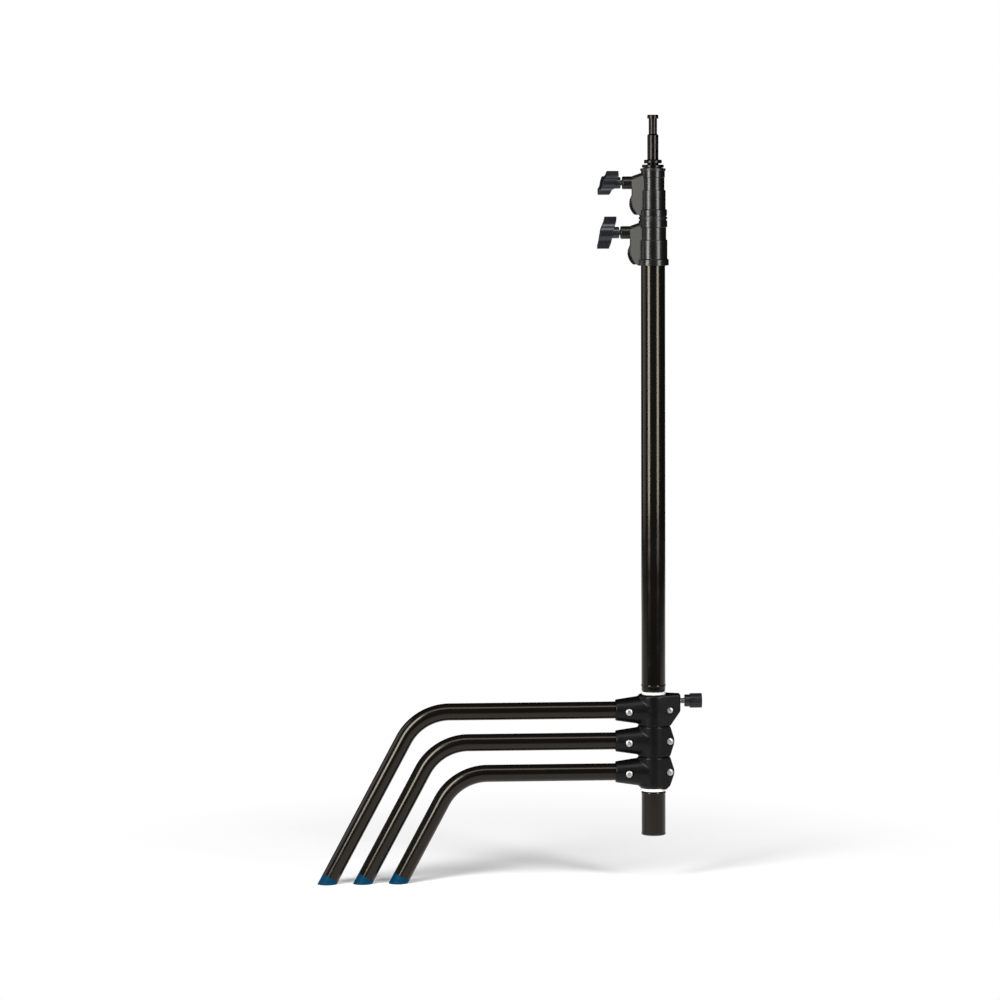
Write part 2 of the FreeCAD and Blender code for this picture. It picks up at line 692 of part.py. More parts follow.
def top_riser_parts():
    cap, bush, snap = riser_end(TOP_R, MID_R - RISER_WALL, TOP_BOTTOM)
    return {
        "top_riser_guide": bush,
        "top_riser_snap_ring": snap,
        "top_riser_end_cap": cap,
        "top_riser_tube": top_riser_tube(),
        "spigot": spigot(),
        "spigot_roll_pin": roll_pin(),
    }


def all_parts():
    parts = {
        "base_tube": base_tube(),
        "base_tube_end_cap": base_end_cap(),
        "lock_tip": lock_tip(),
        "lock_screw": lock_screw(),
        "lock_knob": lock_knob(),
    }
    for index in range(len(LEG_NAMES)):
        parts.update(leg_parts(index))
    parts.update(column_parts())
    parts.update(mid_riser_parts())
    parts.update(top_riser_parts())
    return parts


os.makedirs("parts", exist_ok=True)
for node, shape in all_parts().items():
    solids = shape.Solids
    if len(solids) != 1 or not solids[0].isValid():
        raise ValueError(node + " is not one valid solid")
    solids[0].exportStep("parts/" + node + ".step")
    print(node, round(solids[0].Volume), "mm3")
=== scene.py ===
import json
import math

import bmesh
import bpy
from bpy.props import FloatProperty, FloatVectorProperty, IntProperty, PointerProperty
from bpy.types import Operator, Panel, PropertyGroup
from mathutils import Euler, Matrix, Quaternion, Vector

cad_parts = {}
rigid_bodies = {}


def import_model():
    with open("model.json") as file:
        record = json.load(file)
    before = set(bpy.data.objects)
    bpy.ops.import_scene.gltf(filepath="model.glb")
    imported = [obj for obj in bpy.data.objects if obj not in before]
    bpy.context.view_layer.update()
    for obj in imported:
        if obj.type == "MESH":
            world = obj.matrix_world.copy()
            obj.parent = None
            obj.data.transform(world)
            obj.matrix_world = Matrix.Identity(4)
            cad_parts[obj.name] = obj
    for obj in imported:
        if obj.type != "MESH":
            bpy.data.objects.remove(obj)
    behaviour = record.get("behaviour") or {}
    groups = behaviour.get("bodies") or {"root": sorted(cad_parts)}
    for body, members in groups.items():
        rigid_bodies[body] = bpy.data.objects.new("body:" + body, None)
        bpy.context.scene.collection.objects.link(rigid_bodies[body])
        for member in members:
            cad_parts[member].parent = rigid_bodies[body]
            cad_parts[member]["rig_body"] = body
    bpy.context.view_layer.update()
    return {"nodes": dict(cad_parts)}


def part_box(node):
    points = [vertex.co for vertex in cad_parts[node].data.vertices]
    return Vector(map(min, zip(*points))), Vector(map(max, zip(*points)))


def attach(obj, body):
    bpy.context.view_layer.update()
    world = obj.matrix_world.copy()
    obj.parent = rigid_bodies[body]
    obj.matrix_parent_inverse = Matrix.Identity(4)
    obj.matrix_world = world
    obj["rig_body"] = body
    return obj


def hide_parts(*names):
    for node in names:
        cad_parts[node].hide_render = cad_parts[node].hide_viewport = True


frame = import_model()

bl_info = {
    "name": "Folding Light Stand",
    "version": (1, 0, 0),
    "blender": (4, 5, 0),
    "location": "View3D > Sidebar > Light Stand",
    "description": "Models and paints the pieces of a folding light stand",
    "category": "Object",
}

# Lengths in this file are millimetres, and MM turns them into metres. The column's axis
# is x = y = 0, the folded legs point along -X, and their tubes lie in the plane y = 0.
MM = 0.001
AXES = {"X": (1, 0, 0), "Y": (0, 1, 0), "Z": (0, 0, 1)}
# Sides of large turned pieces, of knobs and bars, of bolts and of drilled holes
ROUND, KNOB_ROUND, BOLT_ROUND, HOLE = 96, 48, 40, 32
RUN, SNUG, SEAT = 0.08, 0.05, 0.02  # radial play: running, seated, and round a tube
GAP = 0.3                # radial gap round the lock's screw
PAST, THROUGH = 5.0, 40.0  # how far cutters reach past a face, and across a tube
LEGS = ("top", "middle", "lower")

# Legs
LEG_R, LEG_WALL = 12.5, 2.0
BEND_R, BEND_DEG = 76.0, 61.8
BEND_STEPS = 40
PLUG_STEM_R, PLUG_STEM_L = 10.45, 24.0
PLUG_LEAD_R, PLUG_LEAD_L, PLUG_RIM, PLUG_EDGE = 1.5, 4.0, 0.5, 0.6

# Leg castings
SOCKET_END_R, SOCKET_ROOT_R, SOCKET_ROOT_X = 15.5, 22.3, -9.0
SOCKET_DEPTH = 29.0
TOP_SHOULDER, LOWER_TAPER, HUB_EDGE = 2.5, 5.0, 0.6
CAST_FLOW, FIN_FLOW = 12, 5  # passes that flow a casting's inside corners together
EAR_HALF_W = 9.0
EAR_ROOT = 23.7
EAR_FLAT, EAR_EDGE = 3.0, 1.5
BOSS_UNDER = 25.0        # the lock's boss is this deep at its tip
SLIT = 2.0
SLIT_END = 17.8          # the top casting's slit ends this far below its top
COLUMN_R = 17.5
HUB_BORE_R = 18.88
SPACER_R = 20.65
LEG_BOLT_X, LEG_BOLT_DROP, LEG_BOLT_SEAT = -36.5, 1.5, 14.6
CLAMP_BOLT_X, CLAMP_BOLT_SEAT = 22.6, 10.5
LEG_BOLT_R, CLAMP_BOLT_R = 3.0, 2.5
LEG_BORE_R, CLAMP_BORE_R = 6.3, 5.9
HEAD_R, HEAD_T = 5.6, 3.1
NUT_FLAT_R, NUT_T = 5.0, 4.6
NUT_FACE_R, NUT_CORNER_R, NUT_CHAMFER = 5.1, 5.9, 0.6
HEX = math.cos(math.pi / 6)  # a hexagon's half width over its corner radius

# Column, base tube and lock
BEAD_PROUD, BEAD_HALF = 0.6, 1.3
BASE_BEAD_DROP, COLUMN_BEAD_UP = 2.9, 9.3  # from the lowest bush and the column's end
COLUMN_END_R, CAP_EDGE = 3.0, 1.3
PIN_R, PIN_WALL, PIN_LEAD_R, PIN_LEAD_L = 14.3, 3.3, 2.0, 4.0
BUSH_BORE_R = 17.58
SCREW_R = 4.0
LOCK_Z = 264.0
KNOB_NECK_R, KNOB_R = 8.9, 10.7
KNOB_NECK, KNOB_EDGE = 7.9, 0.6
DISH_R, DISH_RIM_R = 5.89, 6.63
FLUTE_EDGE = 0.3

# Collars, from the collar's bottom and from its tube's radius
COLLAR_H = 64.6
TUBE_SOCKET = 35.2
FLANGE_H, FLANGE_WALL = 8.6, 5.3
BAND_TOP, BAND_WALL = 36.8, 3.3
NECK_TOP, NECK_WALL = 55.2, 1.6
SCREW_Z = 47.6
SCREW_BOSS_R, SCREW_BOSS_OUT = 9.3, 29.6
FIN_OUT, FIN_TOP, FIN_FOOT = 15.3, 57.0, 30.0
LOBE_OUT, LOBE_MID, LOBE_END = 18.9, 15.0, 11.5
RIB_STEP = 4.2
FIN_HALF_T, RIB_HALF_T = 9.2, 6.0

# Risers and sleeves
MID_R, TOP_R = 15.0, 12.5
RISER_WALL = 1.5
SLEEVE_WALL = 1.25
PAD_BORE_R = 5.5
ROLL_PIN_R = 2.0
# Each collar: name, its tube, the riser in it and the wall of its rim
COLLARS = (("lower", COLUMN_R, MID_R, 3.2), ("upper", MID_R, TOP_R, 2.2))
# Each sleeve: name, riser, radius of its step and rim, and the rim's lower and upper side
SLEEVES = (("lower", MID_R, 19.3, 20.6, 2.2, 5.2), ("upper", TOP_R, 14.7, 18.3, 0.0, 3.6))
# The spigot's outline above its tube, as radius and height
SPIGOT_STEPS = (
    (15.0, 0.0), (15.8, 0.8), (15.8, 3.2), (15.0, 4.0), (9.0, 4.0), (8.0, 4.6), (8.0, 5.4),
    (9.0, 5.9), (12.2, 5.9), (12.9, 6.8), (12.9, 9.9), (12.0, 11.1), (8.6, 11.1),
    (8.0, 11.7), (8.0, 46.4), (6.0, 48.2), (6.0, 70.1), (8.0, 70.3),
)

# T-handles, from the hub's inner end and the screw's axis
GRIP_HUB_R, GRIP_HUB_L = 8.4, 16.0
# The wing from tip to tip: its sides, half its thickness and its height
WING_ROWS = (
    (-20.9, -3.8, 4.3, 23.1), (-21.9, -4.0, 4.3, 18.6), (-22.8, -4.4, 3.0, 15.6),
    (-24.6, -5.4, 3.4, 11.4), (-25.8, -6.8, 6.2, 8.0), (-26.6, -8.0, 8.4, 5.0),
    (-27.4, -9.4, 9.6, 0.0), (-28.4, -10.0, 8.4, -5.0), (-29.0, -10.4, 6.2, -8.0),
    (-29.8, -10.9, 3.4, -11.4), (-30.8, -11.8, 3.0, -15.6), (-31.6, -13.2, 4.3, -18.6),
    (-31.6, -15.0, 4.3, -23.1),
)
UPPER_HANDLE_TURN = 52.0


def linear(code):
    """The linear colour of an sRGB hex value."""
    channels = [int(code[i:i + 2], 16) / 255 for i in (1, 3, 5)]
    bent = [c / 12.92 if c <= 0.04045 else ((c + 0.055) / 1.055) ** 2.4 for c in channels]
    return (*bent, 1.0)


def colour(name, code, description):
    return FloatVectorProperty(
        name=name, description=description, default=linear(code),
        subtype="COLOR", size=4, min=0.0, max=1.0)


def length(name, millimetres, description):
    return FloatProperty(
        name=name, description=description, default=millimetres * MM,
        min=0.0, subtype="DISTANCE", unit="LENGTH", precision=5)


class StandFinishes(PropertyGroup):
    """Colours of the stand's finishes."""
    tube: colour("Tube coat", "#0B0A08", "Gloss coat of the tubes")
    casting: colour("Leg castings", "#060606", "Textured coat of the leg castings")
    collar: colour("Collars", "#0A0A09", "Satin coat of the turned collars")
    # The fins' grey is lighter than the collars' black partly as painted light on the flat
    # cheeks that wear it.
    fin: colour("Collar fins", "#2E2E2A", "Coat of the rough cast fins")
    spigot: colour("Spigot", "#211F1D", "Blackened steel of the spigot")
    grip: colour("Grips", "#0B0D11", "Glass-filled nylon of the handles")
    knob: colour("Knob and caps", "#0D0D0F", "Moulded plastic of the knob and the caps")
    plug: colour("Foot plugs", "#003048", "Polyethylene of the foot plugs")
    nylon: colour("Bushes", "#7E7E7A", "White nylon of the bushes, guides and pads")
    zinc: colour("Bolts", "#BEBEBA", "Zinc plate of the bolts, nuts and screws")
    spring: colour("Snap rings", "#6E6A62", "Oiled spring steel of the snap rings")
    brass: colour("Lock tip", "#B9924A", "Brass of the lock's tip")
    floor: colour("Floor", "#F6F6F6", "Paper that the stand is on")


class StandSizes(PropertyGroup):
    """Small sizes that only the looks need."""
    edge: length("Edge rounding", 0.35, "Radius of the turned pieces' edges")
    grip_edge: length("Grip rounding", 1.2, "Radius of the grips' edges")
    cast_skin: length("Casting grid", 0.8, "Grid that the leg castings are skinned at")
    fin_skin: length("Fin grid", 0.5, "Grid that the collars' fins are skinned at")
    thread_pitch: length("Thread pitch", 1.25, "Distance between two thread crests")
    thread_depth: length("Thread depth", 0.5, "Height of a thread crest")
    key: length("Hexagon socket", 2.3, "Half the width of a bolt's hexagon socket")
    key_depth: length("Socket depth", 1.8, "Depth of a bolt's hexagon socket")
    flute_depth: length("Flute depth", 0.8, "Depth of the knob's flutes")
    flutes: IntProperty(
        name="Flutes", description="How many flutes the knob has", default=18, min=6, max=36)


# Modelling helpers ----------------------------------------------------------------


def box(node):
    """Lowest and highest corner of a CAD node, in millimetres."""
    low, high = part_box(node)
    return low / MM, high / MM


def deselect():
    if bpy.context.object and bpy.context.object.mode != "OBJECT":
        bpy.ops.object.mode_set(mode="OBJECT")
    bpy.ops.object.select_all(action="DESELECT")


def pick(piece, *more):
    """Makes a piece the active one, and selects it with the others."""
    deselect()
    for other in more:
        other.select_set(True)
    piece.select_set(True)
    bpy.context.view_layer.objects.active = piece


def edit():
    """Edit mode on the active piece, with every vertex selected."""
    bpy.ops.object.mode_set(mode="EDIT")
    bpy.ops.mesh.select_mode(type="VERT")
    bpy.ops.mesh.select_all(action="SELECT")


def leave():
    bpy.ops.object.mode_set(mode="OBJECT")


def settle(name):
    """Names a new primitive and puts its place into its mesh."""
    piece = bpy.context.object
    piece.name = name
    piece.data.name = name
    bpy.ops.object.transform_apply(location=True, rotation=True, scale=True)
    return piece


def tidy_mesh():
    """Merges doubles and turns every face outwards, in edit mode."""
    bpy.ops.mesh.select_all(action="SELECT")
    bpy.ops.mesh.remove_doubles(threshold=0.002 * MM)
    bpy.ops.mesh.normals_make_consistent(inside=False)
    leave()


def extrude(move):
    """Extrudes what is selected by a move in metres, in edit mode."""
    bpy.ops.mesh.extrude_region_move(TRANSFORM_OT_translate={"value": move})


def draw(name, points):
    """A chain of vertices through the points, left in edit mode."""
    deselect()
    bpy.ops.mesh.primitive_plane_add(size=MM, location=points[0])
    piece = settle(name)
    edit()
    bpy.ops.mesh.merge(type="CENTER")
    for before, after in zip(points, points[1:]):
        extrude(after - before)
    bpy.ops.mesh.select_all(action="SELECT")
    return piece


def spin(name, axis, centre, profile, steps=ROUND):
    """Spins (radius, place along the axis) points round an axis through centre."""
    x, y, z = centre
    spots = {
        "X": lambda r, t: (t, y, z + r),
        "Y": lambda r, t: (x + r, t, z),
        "Z": lambda r, t: (x + r, y, t),
    }
    piece = draw(name, [Vector(spots[axis](r, t)) * MM for r, t in profile])
    bpy.ops.mesh.spin(
        steps=steps, angle=math.tau, center=Vector(centre) * MM, axis=AXES[axis])
    tidy_mesh()
    return piece


def lathe(name, profile):
    """Spins (radius, height) points round the column's axis."""
    return spin(name, "Z", (0, 0, 0), profile)


def ring(name, inner, outer, start, end):
    """A lathed ring or tube with square edges."""
    return lathe(name, [
        (inner, start), (outer, start), (outer, end), (inner, end), (inner, start)])


def slab(name, outline, half_t):
    """An (x, z) outline thickened equally to both sides of the plane y = 0."""
    piece = draw(name, [Vector((x, -half_t, z)) * MM for x, z in outline])
    bpy.ops.mesh.edge_face_add()
    extrude((0, 2 * half_t * MM, 0))
    tidy_mesh()
    return piece


def loft(name, rows):
    """A bar drawn from row to row of (left side, right side, half thickness, height)."""
    left, right, half_t, z = rows[0]
    middle, width, thick = Vector(((left + right) / 2, 0, z)), 1.0, 1.0
    deselect()
    bpy.ops.mesh.primitive_plane_add(size=MM, location=middle * MM)
    piece = settle(name)
    edit()
    for i, (left, right, half_t, z) in enumerate(rows):
        centre = Vector(((left + right) / 2, 0, z))
        if i:
            extrude((centre - middle) * MM)
        bpy.ops.transform.resize(
            value=((right - left) / width, 2 * half_t / thick, 1),
            center_override=centre * MM)
        middle, width, thick = centre, right - left, 2 * half_t
    tidy_mesh()
    return piece


def bar(axis, radius, start, end, centre, sides=KNOB_ROUND):
    """A plain round bar that other pieces are cut with."""
    middle = Vector(centre)
    middle["XYZ".index(axis)] = (start + end) / 2
    turn = {"X": (0, math.pi / 2, 0), "Y": (math.pi / 2, 0, 0), "Z": (0, 0, 0)}[axis]
    deselect()
    bpy.ops.mesh.primitive_cylinder_add(
        vertices=sides, radius=radius * MM, depth=abs(end - start) * MM,
        location=middle * MM, rotation=turn)
    return settle("cutter")


def brick(low, high):
    """A plain block that other pieces are cut with."""
    low, high = Vector(low), Vector(high)
    deselect()
    bpy.ops.mesh.primitive_cube_add(size=1, location=(low + high) / 2 * MM,
                                    scale=(high - low) * MM)
    return settle("cutter")


def join(piece, *others):
    """Joins other pieces to a piece as they are."""
    pick(piece, *others)
    bpy.ops.object.join()


def modify(piece, kind, **settings):
    """Adds a modifier to a piece and applies it."""
    pick(piece)
    modifier = piece.modifiers.new(kind, kind)
    for key, value in settings.items():
        setattr(modifier, key, value)
    bpy.ops.object.modifier_apply(modifier=modifier.name)


def combine(piece, operation, *tools):
    """Boolean of a piece with each tool in turn. The tools are used up."""
    for tool in tools:
        modify(piece, "BOOLEAN", operation=operation, solver="EXACT", object=tool)
        bpy.data.objects.remove(tool)


def select_by(piece, kind, test):
    """Selects in edit mode the vertices or faces whose centre, in mm, passes a test."""
    pick(piece)
    bpy.ops.object.mode_set(mode="EDIT")
    bpy.ops.mesh.select_mode(type=kind)
    bpy.ops.mesh.select_all(action="DESELECT")
    mesh = bmesh.from_edit_mesh(piece.data)
    for item in mesh.verts if kind == "VERT" else mesh.faces:
        place = item.co if kind == "VERT" else item.calc_center_median()
        if test(place / MM):
            item.select_set(True)
    bmesh.update_edit_mesh(piece.data)


def skin(piece, grid, passes):
    """Skins joined shapes as one casting, whose inside corners flow together."""
    modify(piece, "REMESH", mode="VOXEL", voxel_size=grid)
    modify(piece, "SMOOTH", factor=0.5, iterations=passes)


def smooth(piece, limit=35):
    pick(piece)
    bpy.ops.object.shade_smooth_by_angle(angle=math.radians(limit))


def soften(piece, width, segments=2, limit=35):
    """Rounds the sharp edges and shades the piece smooth between them."""
    modify(piece, "BEVEL", width=width, segments=segments, limit_method="ANGLE",
           angle_limit=math.radians(limit))
    smooth(piece, limit)


def turn(piece, axis, degrees, centre):
    """Turns a piece's mesh by the right-hand rule about an axis through centre."""
    pick(piece)
    edit()
    bpy.ops.transform.rotate(
        value=-math.radians(degrees), orient_axis=axis, orient_type="GLOBAL",
        center_override=Vector(centre) * MM)
    leave()


def shift(piece, move):
    """Moves a piece's mesh by a number of millimetres."""
    pick(piece)
    edit()
    bpy.ops.transform.translate(value=Vector(move) * MM)
    leave()


def copy_of(piece, name, move):
    """A copy of a piece with its own mesh, moved by a number of millimetres."""
    pick(piece)
    bpy.ops.object.duplicate(linked=False)
    twin = bpy.context.object
    twin.name = name
    twin.data.name = name
    shift(twin, move)
    return twin


def stand_in(piece, slot, *nodes, off=1.0):
    """Lets a piece stand for CAD nodes: it rides on their body and hides them."""
    low, high = zip(*(box(node) for node in nodes))
    places = [v.co / MM for v in piece.data.vertices]
    for i in range(3):
        wanted = min(p[i] for p in low), max(p[i] for p in high)
        got = min(p[i] for p in places), max(p[i] for p in places)
        if max(abs(got[0] - wanted[0]), abs(got[1] - wanted[1])) > off:
            raise ValueError(f"{piece.name} is {got} along {'XYZ'[i]}, not {wanted}")
    if not piece.data.materials:
        paint(piece, LOOKS[slot])
    modify(piece, "WEIGHTED_NORMAL", keep_sharp=True)
    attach(piece, frame["nodes"][nodes[0]]["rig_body"])
    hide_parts(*nodes)


def thread(radius, start, end):
    """Profile of a threaded length, as (radius, place) points from crest to root."""
    sizes = bpy.context.scene.stand_sizes
    pitch, depth = sizes.thread_pitch / MM, sizes.thread_depth / MM
    turns = max(1, int(abs(end - start) / pitch))
    step = (end - start) / turns
    points = []
    for i in range(turns):
        points += [(radius - depth, start + i * step), (radius, start + (i + 0.5) * step)]
    return points + [(radius - depth, end)]


def bead(radius, z):
    """Profile of a rolled bead round a tube."""
    points = []
    for i in range(7):
        a = math.pi * i / 6
        points.append((radius + BEAD_PROUD * math.sin(a), z - BEAD_HALF * math.cos(a)))
    return points


def corner(radius, z, size, start_deg, end_deg):
    """Points of a quarter round about (radius, z), for a lathe's profile."""
    points = []
    for i in range(6):
        a = math.radians(start_deg + (end_deg - start_deg) * i / 5)
        points.append((radius + size * math.cos(a), z + size * math.sin(a)))
    return points


# Finishes -------------------------------------------------------------------------


def add(tree, kind, sockets=None, **settings):
    """Adds a node. A socket's value may be another node's output, which is linked."""
    node = tree.nodes.new(kind)
    for key, value in settings.items():
        setattr(node, key, value)
    for key, value in (sockets or {}).items():
        if isinstance(value, bpy.types.NodeSocket):
            tree.links.new(value, node.inputs[key])
        else:
            node.inputs[key].default_value = value
    return node


def noise(tree, place, scale, detail, **sockets):
    """Noise whose features are about a metre / scale across."""
    return add(tree, "ShaderNodeTexNoise", {
        "Vector": place, "Scale": scale, "Detail": detail, **sockets}).outputs["Fac"]


def cells(tree, place, scale):
    """Cells about a metre / scale across, dark in the middle."""
    return add(tree, "ShaderNodeTexVoronoi", {
        "Vector": place, "Scale": scale}).outputs["Distance"]


def tool_rings(tree, place, axis, scale, **sockets):
    """Rings about an axis that a lathe tool leaves, 0.314 m / scale apart."""
    return add(tree, "ShaderNodeTexWave", {"Vector": place, "Scale": scale, **sockets},
               wave_type="BANDS", bands_direction=axis).outputs["Fac"]


def spread(tree, value, least, most, low=0.3, high=0.7):
    """Spreads a value's range from low to high over the range from least to most."""
    return add(tree, "ShaderNodeMapRange", {
        "Value": value, "From Min": low, "From Max": high,
        "To Min": least, "To Max": most}).outputs["Result"]


def blend(tree, finish, second, share):
    """A finish's colour mixed with a second one by share."""
    return add(tree, "ShaderNodeMix", {
        "Factor": share, "A": getattr(bpy.context.scene.stand_finishes, finish),
        "B": linear(second)}, data_type="RGBA").outputs["Result"]


def shade(tree, tint, rough, height, bump, **sockets):
    """Principled shader. bump is a height's strength and its depth in millimetres."""
    relief = add(tree, "ShaderNodeBump", {
        "Height": height, "Strength": bump[0], "Distance": bump[1] * MM})
    named = {key.replace("_", " "): value for key, value in sockets.items()}
    return add(tree, "ShaderNodeBsdfPrincipled", {
        "Base Color": tint, "Roughness": rough, "Normal": relief.outputs["Normal"],
        **named})


def gloss_powder_coat(tree, place):
    """Black powder coat on steel tube, baked to a gloss."""
    # Deep black with clear reflections. Its orange peel of about 2.5 mm makes their
    # edges waver, and 40 mm clouds of handling haze make them a little duller.
    peel = noise(tree, place, 400.0, 1.5)
    haze = noise(tree, place, 25.0, 4.0)
    # Dust specks half a millimetre across show as slightly lighter points.
    dust = spread(tree, noise(tree, place, 1800.0, 0.0), 0.0, 0.12, 0.74, 0.82)
    return shade(
        tree, blend(tree, "tube", "#3A3732", dust), spread(tree, haze, 0.12, 0.2, 0.35),
        peel, (0.05, 0.01), IOR=1.5, Specular_IOR_Level=0.3,
        Specular_Tint=linear("#FFF0DE"))


def textured_powder_coat(tree, place):
    """Fine-texture black powder coat on die-cast aluminium."""
    # Soft dull sheen without clear reflections. The coat's grit is 0.3 mm, and it is
    # drawn at 0.9 mm because finer would not show.
    grit = noise(tree, place, 1100.0, 3.0)
    wave = noise(tree, place, 90.0, 2.0)
    height = add(tree, "ShaderNodeMath", {0: grit, 1: 0.25, 2: wave},
                 operation="MULTIPLY_ADD").outputs["Value"]
    return shade(
        tree, blend(tree, "casting", "#131211", spread(tree, grit, 0.0, 0.35, 0.55, 0.8)),
        spread(tree, wave, 0.3, 0.38), height, (0.4, 0.15), IOR=1.5, Specular_IOR_Level=0.16)


def satin_turned_coat(tree, place):
    """Satin black coat over aluminium that was turned on a lathe."""
    # Broad soft streaks of light down the barrel. Rings left by the tool, 0.4 mm apart,
    # are drawn at 1.2 mm so that they show.
    rings = tool_rings(tree, place, "Z", 262.0, Distortion=0.6, Detail=2.0)
    cloud = noise(tree, place, 70.0, 4.0)
    return shade(
        tree, blend(tree, "collar", "#100F0D", cloud), spread(tree, cloud, 0.23, 0.28), rings,
        (0.1, 0.01), IOR=1.5, Specular_IOR_Level=0.34)


def as_cast_coat_painted_lit(tree, place):
    """Thin black coat on aluminium left as it was cast."""
    # The skin of the mould, pitted at about 1.5 mm, is rougher than the turned barrel, and the
    # flat faces look warm grey and even beside it.
    # That lighter grey is partly painted light: it goes only on the fin's flat cheeks, while
    # the curved rim keeps the dark satin coat as painted shade.
    pits = noise(tree, place, 650.0, 4.0, Roughness=0.6)
    cloud = noise(tree, place, 60.0, 3.0)
    return shade(
        tree, blend(tree, "fin", "#373631", cloud), spread(tree, pits, 0.5, 0.66), pits,
        (0.6, 0.15), IOR=1.5)


def blackened_steel(tree, place):
    """Steel turned on a lathe and blackened."""
    # Dark brown-black metal with bright narrow streaks, and turning marks 0.8 mm apart.
    rings = tool_rings(tree, place, "Z", 393.0, Distortion=0.4, Detail=1.0)
    cloud = noise(tree, place, 120.0, 5.0)
    return shade(
        tree, blend(tree, "spigot", "#2B2926", cloud), spread(tree, cloud, 0.22, 0.34), rings,
        (0.1, 0.01), Metallic=1.0)


def glass_filled_nylon(tree, place):
    """Black nylon with glass fibre, moulded."""
    # Blue-black, with a satin sheen that short fibres mottle at about 1.5 mm.
    fibres = noise(tree, place, 700.0, 3.0, Distortion=0.8)
    flow = noise(tree, place, 80.0, 2.0, Distortion=1.5)
    return shade(
        tree, blend(tree, "grip", "#12151A", flow), spread(tree, fibres, 0.22, 0.34), fibres,
        (0.12, 0.02), IOR=1.53, Specular_IOR_Level=0.5)


def moulded_abs(tree, place):
    """Black ABS from a spark-eroded mould."""
    # Even matt black, with the mould's grain of 0.25 mm drawn at 0.8 mm.
    grain = cells(tree, place, 1250.0)
    cloud = noise(tree, place, 100.0, 3.0)
    return shade(
        tree, blend(tree, "knob", "#161619", cloud), spread(tree, cloud, 0.26, 0.36), grain,
        (0.3, 0.05), IOR=1.54, Specular_IOR_Level=0.3)


def blue_polyethylene(tree, place):
    """Blue polyethylene, moulded, scuffed where it stands on the floor."""
    # Waxy and saturated, with pale scuffs of about 2 mm in the lowest 4 mm.
    height = add(tree, "ShaderNodeSeparateXYZ", {"Vector": place}).outputs["Z"]
    scuffs = noise(tree, place, 500.0, 5.0, Roughness=0.7)
    worn = add(tree, "ShaderNodeMath", {
        0: spread(tree, height, 0.3, 0.0, 0.0, 4 * MM), 1: scuffs},
        operation="MULTIPLY").outputs["Value"]
    return shade(
        tree, blend(tree, "plug", "#145270", worn), spread(tree, scuffs, 0.36, 0.5), scuffs,
        (0.25, 0.05), IOR=1.51, Specular_IOR_Level=0.05)


def white_nylon(tree, place):
    """Natural white nylon, turned from bar."""
    # Milky and slightly translucent. Grease from the joint clouds it in patches of 8 mm.
    grease = noise(tree, place, 120.0, 4.0)
    return shade(
        tree, blend(tree, "nylon", "#72706B", grease), spread(tree, grease, 0.5, 0.65),
        noise(tree, place, 900.0, 2.0), (0.2, 0.03), Specular_IOR_Level=0.12,
        Subsurface_Weight=0.15, Subsurface_Scale=1.5 * MM)


def bright_zinc(tree, place):
    """Steel with bright zinc plate."""
    # Silvery and fairly clear, with a spangle of about 1.5 mm in its roughness.
    spangle = cells(tree, place, 650.0)
    wear = noise(tree, place, 1500.0, 3.0)
    return shade(
        tree, blend(tree, "zinc", "#A4A49F", wear),
        spread(tree, spangle, 0.4, 0.5, 0.0, 0.8), wear, (0.2, 0.02), Metallic=1.0)


def oiled_spring_steel(tree, place):
    """Hardened spring steel with an oil film."""
    # Grey-brown metal that the oil darkens in drops of about 2 mm.
    oil = noise(tree, place, 480.0, 4.0)
    return shade(
        tree, blend(tree, "spring", "#4C4740", oil), spread(tree, oil, 0.2, 0.4), oil,
        (0.15, 0.02), Metallic=1.0)


def turned_brass(tree, place):
    """Brass, turned and dulled by use."""
    # Yellow metal with rings from the tool 0.5 mm apart and brown tarnish in clouds.
    rings = tool_rings(tree, place, "X", 628.0, Distortion=0.5)
    tarnish = noise(tree, place, 300.0, 4.0)
    return shade(
        tree, blend(tree, "brass", "#7C5C2C", tarnish),
        spread(tree, tarnish, 0.25, 0.45), rings, (0.3, 0.02), Metallic=1.0)


def paper_sweep(tree, place):
    """Matt white paper, lit from below past the stand."""
    # Pale and even under the stand, where soft shadows show, and pure white further out.
    tint = blend(tree, "floor", "#F2F2F2", noise(tree, place, 300.0, 3.0))
    matt = add(tree, "ShaderNodeBsdfDiffuse", {"Color": tint})
    haze = add(tree, "ShaderNodeEmission", {"Color": linear("#FFFFFF"), "Strength": 0.1})
    lit = add(tree, "ShaderNodeAddShader", {
        0: matt.outputs["BSDF"], 1: haze.outputs["Emission"]})
    glow = add(tree, "ShaderNodeEmission", {"Color": linear("#FFFFFF"), "Strength": 1.0})
    away = add(tree, "ShaderNodeVectorMath", {0: place, 1: (-0.2, 0.1, 0.0)},
               operation="DISTANCE")
    share = add(tree, "ShaderNodeMapRange", {
        "Value": away.outputs["Value"], "From Min": 0.1, "From Max": 0.8},
        interpolation_type="SMOOTHSTEP")
    return add(tree, "ShaderNodeMixShader", {
        "Fac": share.outputs["Result"], 1: lit.outputs["Shader"],
        2: glow.outputs["Emission"]})


# The finish of each of the record's material slots
LOOKS = {
    "gloss_black_tube": gloss_powder_coat,
    "black_casting": textured_powder_coat,
    "collar_casting": satin_turned_coat,
    "black_spigot": blackened_steel,
    "white_nylon": white_nylon,
    "grip_plastic": glass_filled_nylon,
    "black_plastic": moulded_abs,
    "blue_plug": blue_polyethylene,
    "zinc_steel": bright_zinc,
}


def finish(look):
    """The material that a look fills in, made once and named after it."""
    name = look.__name__
    if name in bpy.data.materials:
        return bpy.data.materials[name]
    material = bpy.data.materials.new(name)
    material.use_nodes = True
    tree = material.node_tree
    tree.nodes.clear()
    surface = look(tree, add(tree, "ShaderNodeTexCoord").outputs["Object"])
    add(tree, "ShaderNodeOutputMaterial", {"Surface": surface.outputs[0]})
    return material


def paint(piece, *looks):
    piece.data.materials.clear()
    for look in looks:
        piece.data.materials.append(finish(look))


